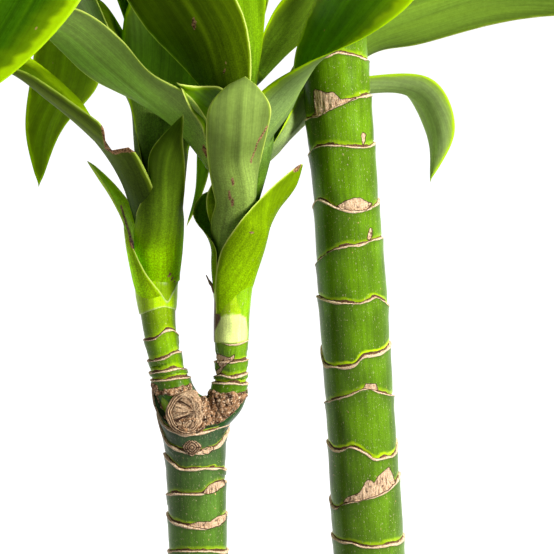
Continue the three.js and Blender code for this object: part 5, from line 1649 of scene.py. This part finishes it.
def make_crumbs():
    """Loose crumbs of bark, peat and perlite on the soil, each a lumpy grain."""
    random = np.random.default_rng(5)
    grain = bmesh.new()
    bmesh.ops.create_icosphere(grain, subdivisions=2, radius=1)
    shape = np.array([vert.co for vert in grain.verts])
    cells = np.array([[vert.index for vert in face.verts] for face in grain.faces])
    grain.free()
    limits = np.cumsum([share for _, share in CRUMB_KINDS])
    points, faces, tints = [], [], []
    for k in range(CRUMBS):
        out = CRUMB_REACH * math.sqrt(random.random())
        turn = random.uniform(0, 2 * math.pi)
        x, y = out * math.cos(turn), out * math.sin(turn)
        size = random.uniform(0.9, 2.6) * np.array([1, random.uniform(0.6, 1), random.uniform(0.4, 0.8)])
        spin = random.uniform(0, math.pi)
        body = shape * size * (1 + 0.3 * bumps(shape + 10 * k, 0.8, 7))[:, None]
        along = (math.cos(spin), math.sin(spin), 0)
        aside = (-math.sin(spin), math.cos(spin), 0)
        height = float(soil_height(np.array([x]), np.array([y]))[0])
        points.append(body @ np.array([along, aside, (0, 0, 1)]) + (x, y, height + 0.25 * size[2]))
        faces += (cells + len(shape) * k).tolist()
        color = CRUMB_KINDS[int(np.searchsorted(limits, random.random()))][0]
        tints.append(np.repeat(linear(color)[None], len(shape), 0))
    marks = {"tint": np.concatenate(tints)}
    piece = piece_of("soil_crumbs", np.concatenate(points) * MM, faces, marks, [CRUMB])
    finish_piece(piece, "soil")


# ---- Stage --------------------------------------------------------------------------------------

# The world's strength before the plant, behind it, from below, and as the camera sees it. It
# changes over these ranges of its directions' Y and Z.
WORLD_BEFORE = 0.1
WORLD_BEHIND = 0.8
WORLD_BELOW = 0.5
WORLD_SEEN = 1.1
WORLD_DEPTH = (-0.5, 0.7)
WORLD_FALL = (-0.1, -0.6)
FLOOR_RADIUS = 30
FLOOR_GREY = (0.85, 0.85, 0.85)
FLOOR_GLOW = 0.8
KEY_PLACE = (1.7, -1.2, 1.5)
KEY_AIM = (0, 0, 0.55)
KEY_SIZE = 0.8
KEY_POWER = 104


def make_stage():
    """A round pale floor that glows white and throws no light back at the plant."""
    turns = radians_round(96)
    rim = FLOOR_RADIUS * np.stack([np.cos(turns), np.sin(turns), 0 * turns], -1)
    paint = Paint("pale_floor")
    glow = {"Emission_Color": (1, 1, 1, 1), "Emission_Strength": FLOOR_GLOW}
    white = paint.surface(FLOOR_GREY, 0.9, Specular_IOR_Level=0.1, **glow)
    floor = piece_of("floor", rim, [list(range(96))], {}, [white])
    floor.visible_diffuse = False


def make_key_light():
    """A window-like light from the right."""
    light = bpy.data.lights.new("key", "AREA")
    light.shape = "DISK"
    light.size = KEY_SIZE
    light.energy = KEY_POWER
    lamp = bpy.data.objects.new("key", light)
    lamp.location = KEY_PLACE
    lamp.rotation_euler = (Vector(KEY_AIM) - Vector(KEY_PLACE)).to_track_quat("-Z", "Y").to_euler()
    bpy.context.collection.objects.link(lamp)


def make_world():
    """A white world behind the plant, a dim one before it, and some light from below."""
    world = bpy.data.worlds.new("studio")
    world.use_nodes = True
    tree = world.node_tree
    background = tree.nodes["Background"]
    way = tree.nodes.new("ShaderNodeTexCoord")
    parts = tree.nodes.new("ShaderNodeSeparateXYZ")
    depth = tree.nodes.new("ShaderNodeMapRange")
    depth.interpolation_type = "SMOOTHSTEP"
    below = tree.nodes.new("ShaderNodeMapRange")
    ranges = [(depth, (*WORLD_DEPTH, WORLD_BEFORE, WORLD_BEHIND)), (below, (*WORLD_FALL, 0.0, WORLD_BELOW))]
    for node, values in ranges:
        for socket, value in zip(list(node.inputs)[1:5], values):
            socket.default_value = value
    total = tree.nodes.new("ShaderNodeMath")
    path = tree.nodes.new("ShaderNodeLightPath")
    strength = tree.nodes.new("ShaderNodeMix")
    strength.inputs[3].default_value = WORLD_SEEN
    tree.links.new(way.outputs["Generated"], parts.inputs[0])
    tree.links.new(parts.outputs["Y"], depth.inputs[0])
    tree.links.new(parts.outputs["Z"], below.inputs[0])
    tree.links.new(depth.outputs[0], total.inputs[0])
    tree.links.new(below.outputs[0], total.inputs[1])
    tree.links.new(total.outputs[0], strength.inputs[2])
    tree.links.new(path.outputs["Is Camera Ray"], strength.inputs[0])
    tree.links.new(strength.outputs[0], background.inputs["Strength"])
    background.inputs["Color"].default_value = (1, 1, 1, 1)
    bpy.context.scene.world = world
    bpy.context.scene.view_settings.view_transform = "Standard"
    bpy.context.scene.view_settings.look = "None"


def make_camera():
    """The photograph's own view."""
    camera = bpy.data.cameras.new("photo_view")
    camera.sensor_width = SENSOR
    camera.lens = SENSOR * FOCAL / PHOTO_SIDE
    camera.clip_start = 0.05
    camera.clip_end = 200
    eye = bpy.data.objects.new("photo_view", camera)
    eye.location = EYE
    eye.rotation_euler = Vector(AIM - EYE).to_track_quat("-Z", "Y").to_euler()
    bpy.context.collection.objects.link(eye)
    bpy.context.scene.camera = eye


make_camera()
make_key_light()
make_world()
make_stage()
make_canes()
make_sheaths()
make_husk()
make_fork()
make_stub_face()
make_bud_scar()
make_pot()
make_soil()
make_crumbs()
for number, node in enumerate(sorted(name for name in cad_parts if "_leaf_" in name)):
    make_leaf(node, number)
for number, node in enumerate(("left_heart", "right_heart", "tall_heart")):
    make_heart(node, number)
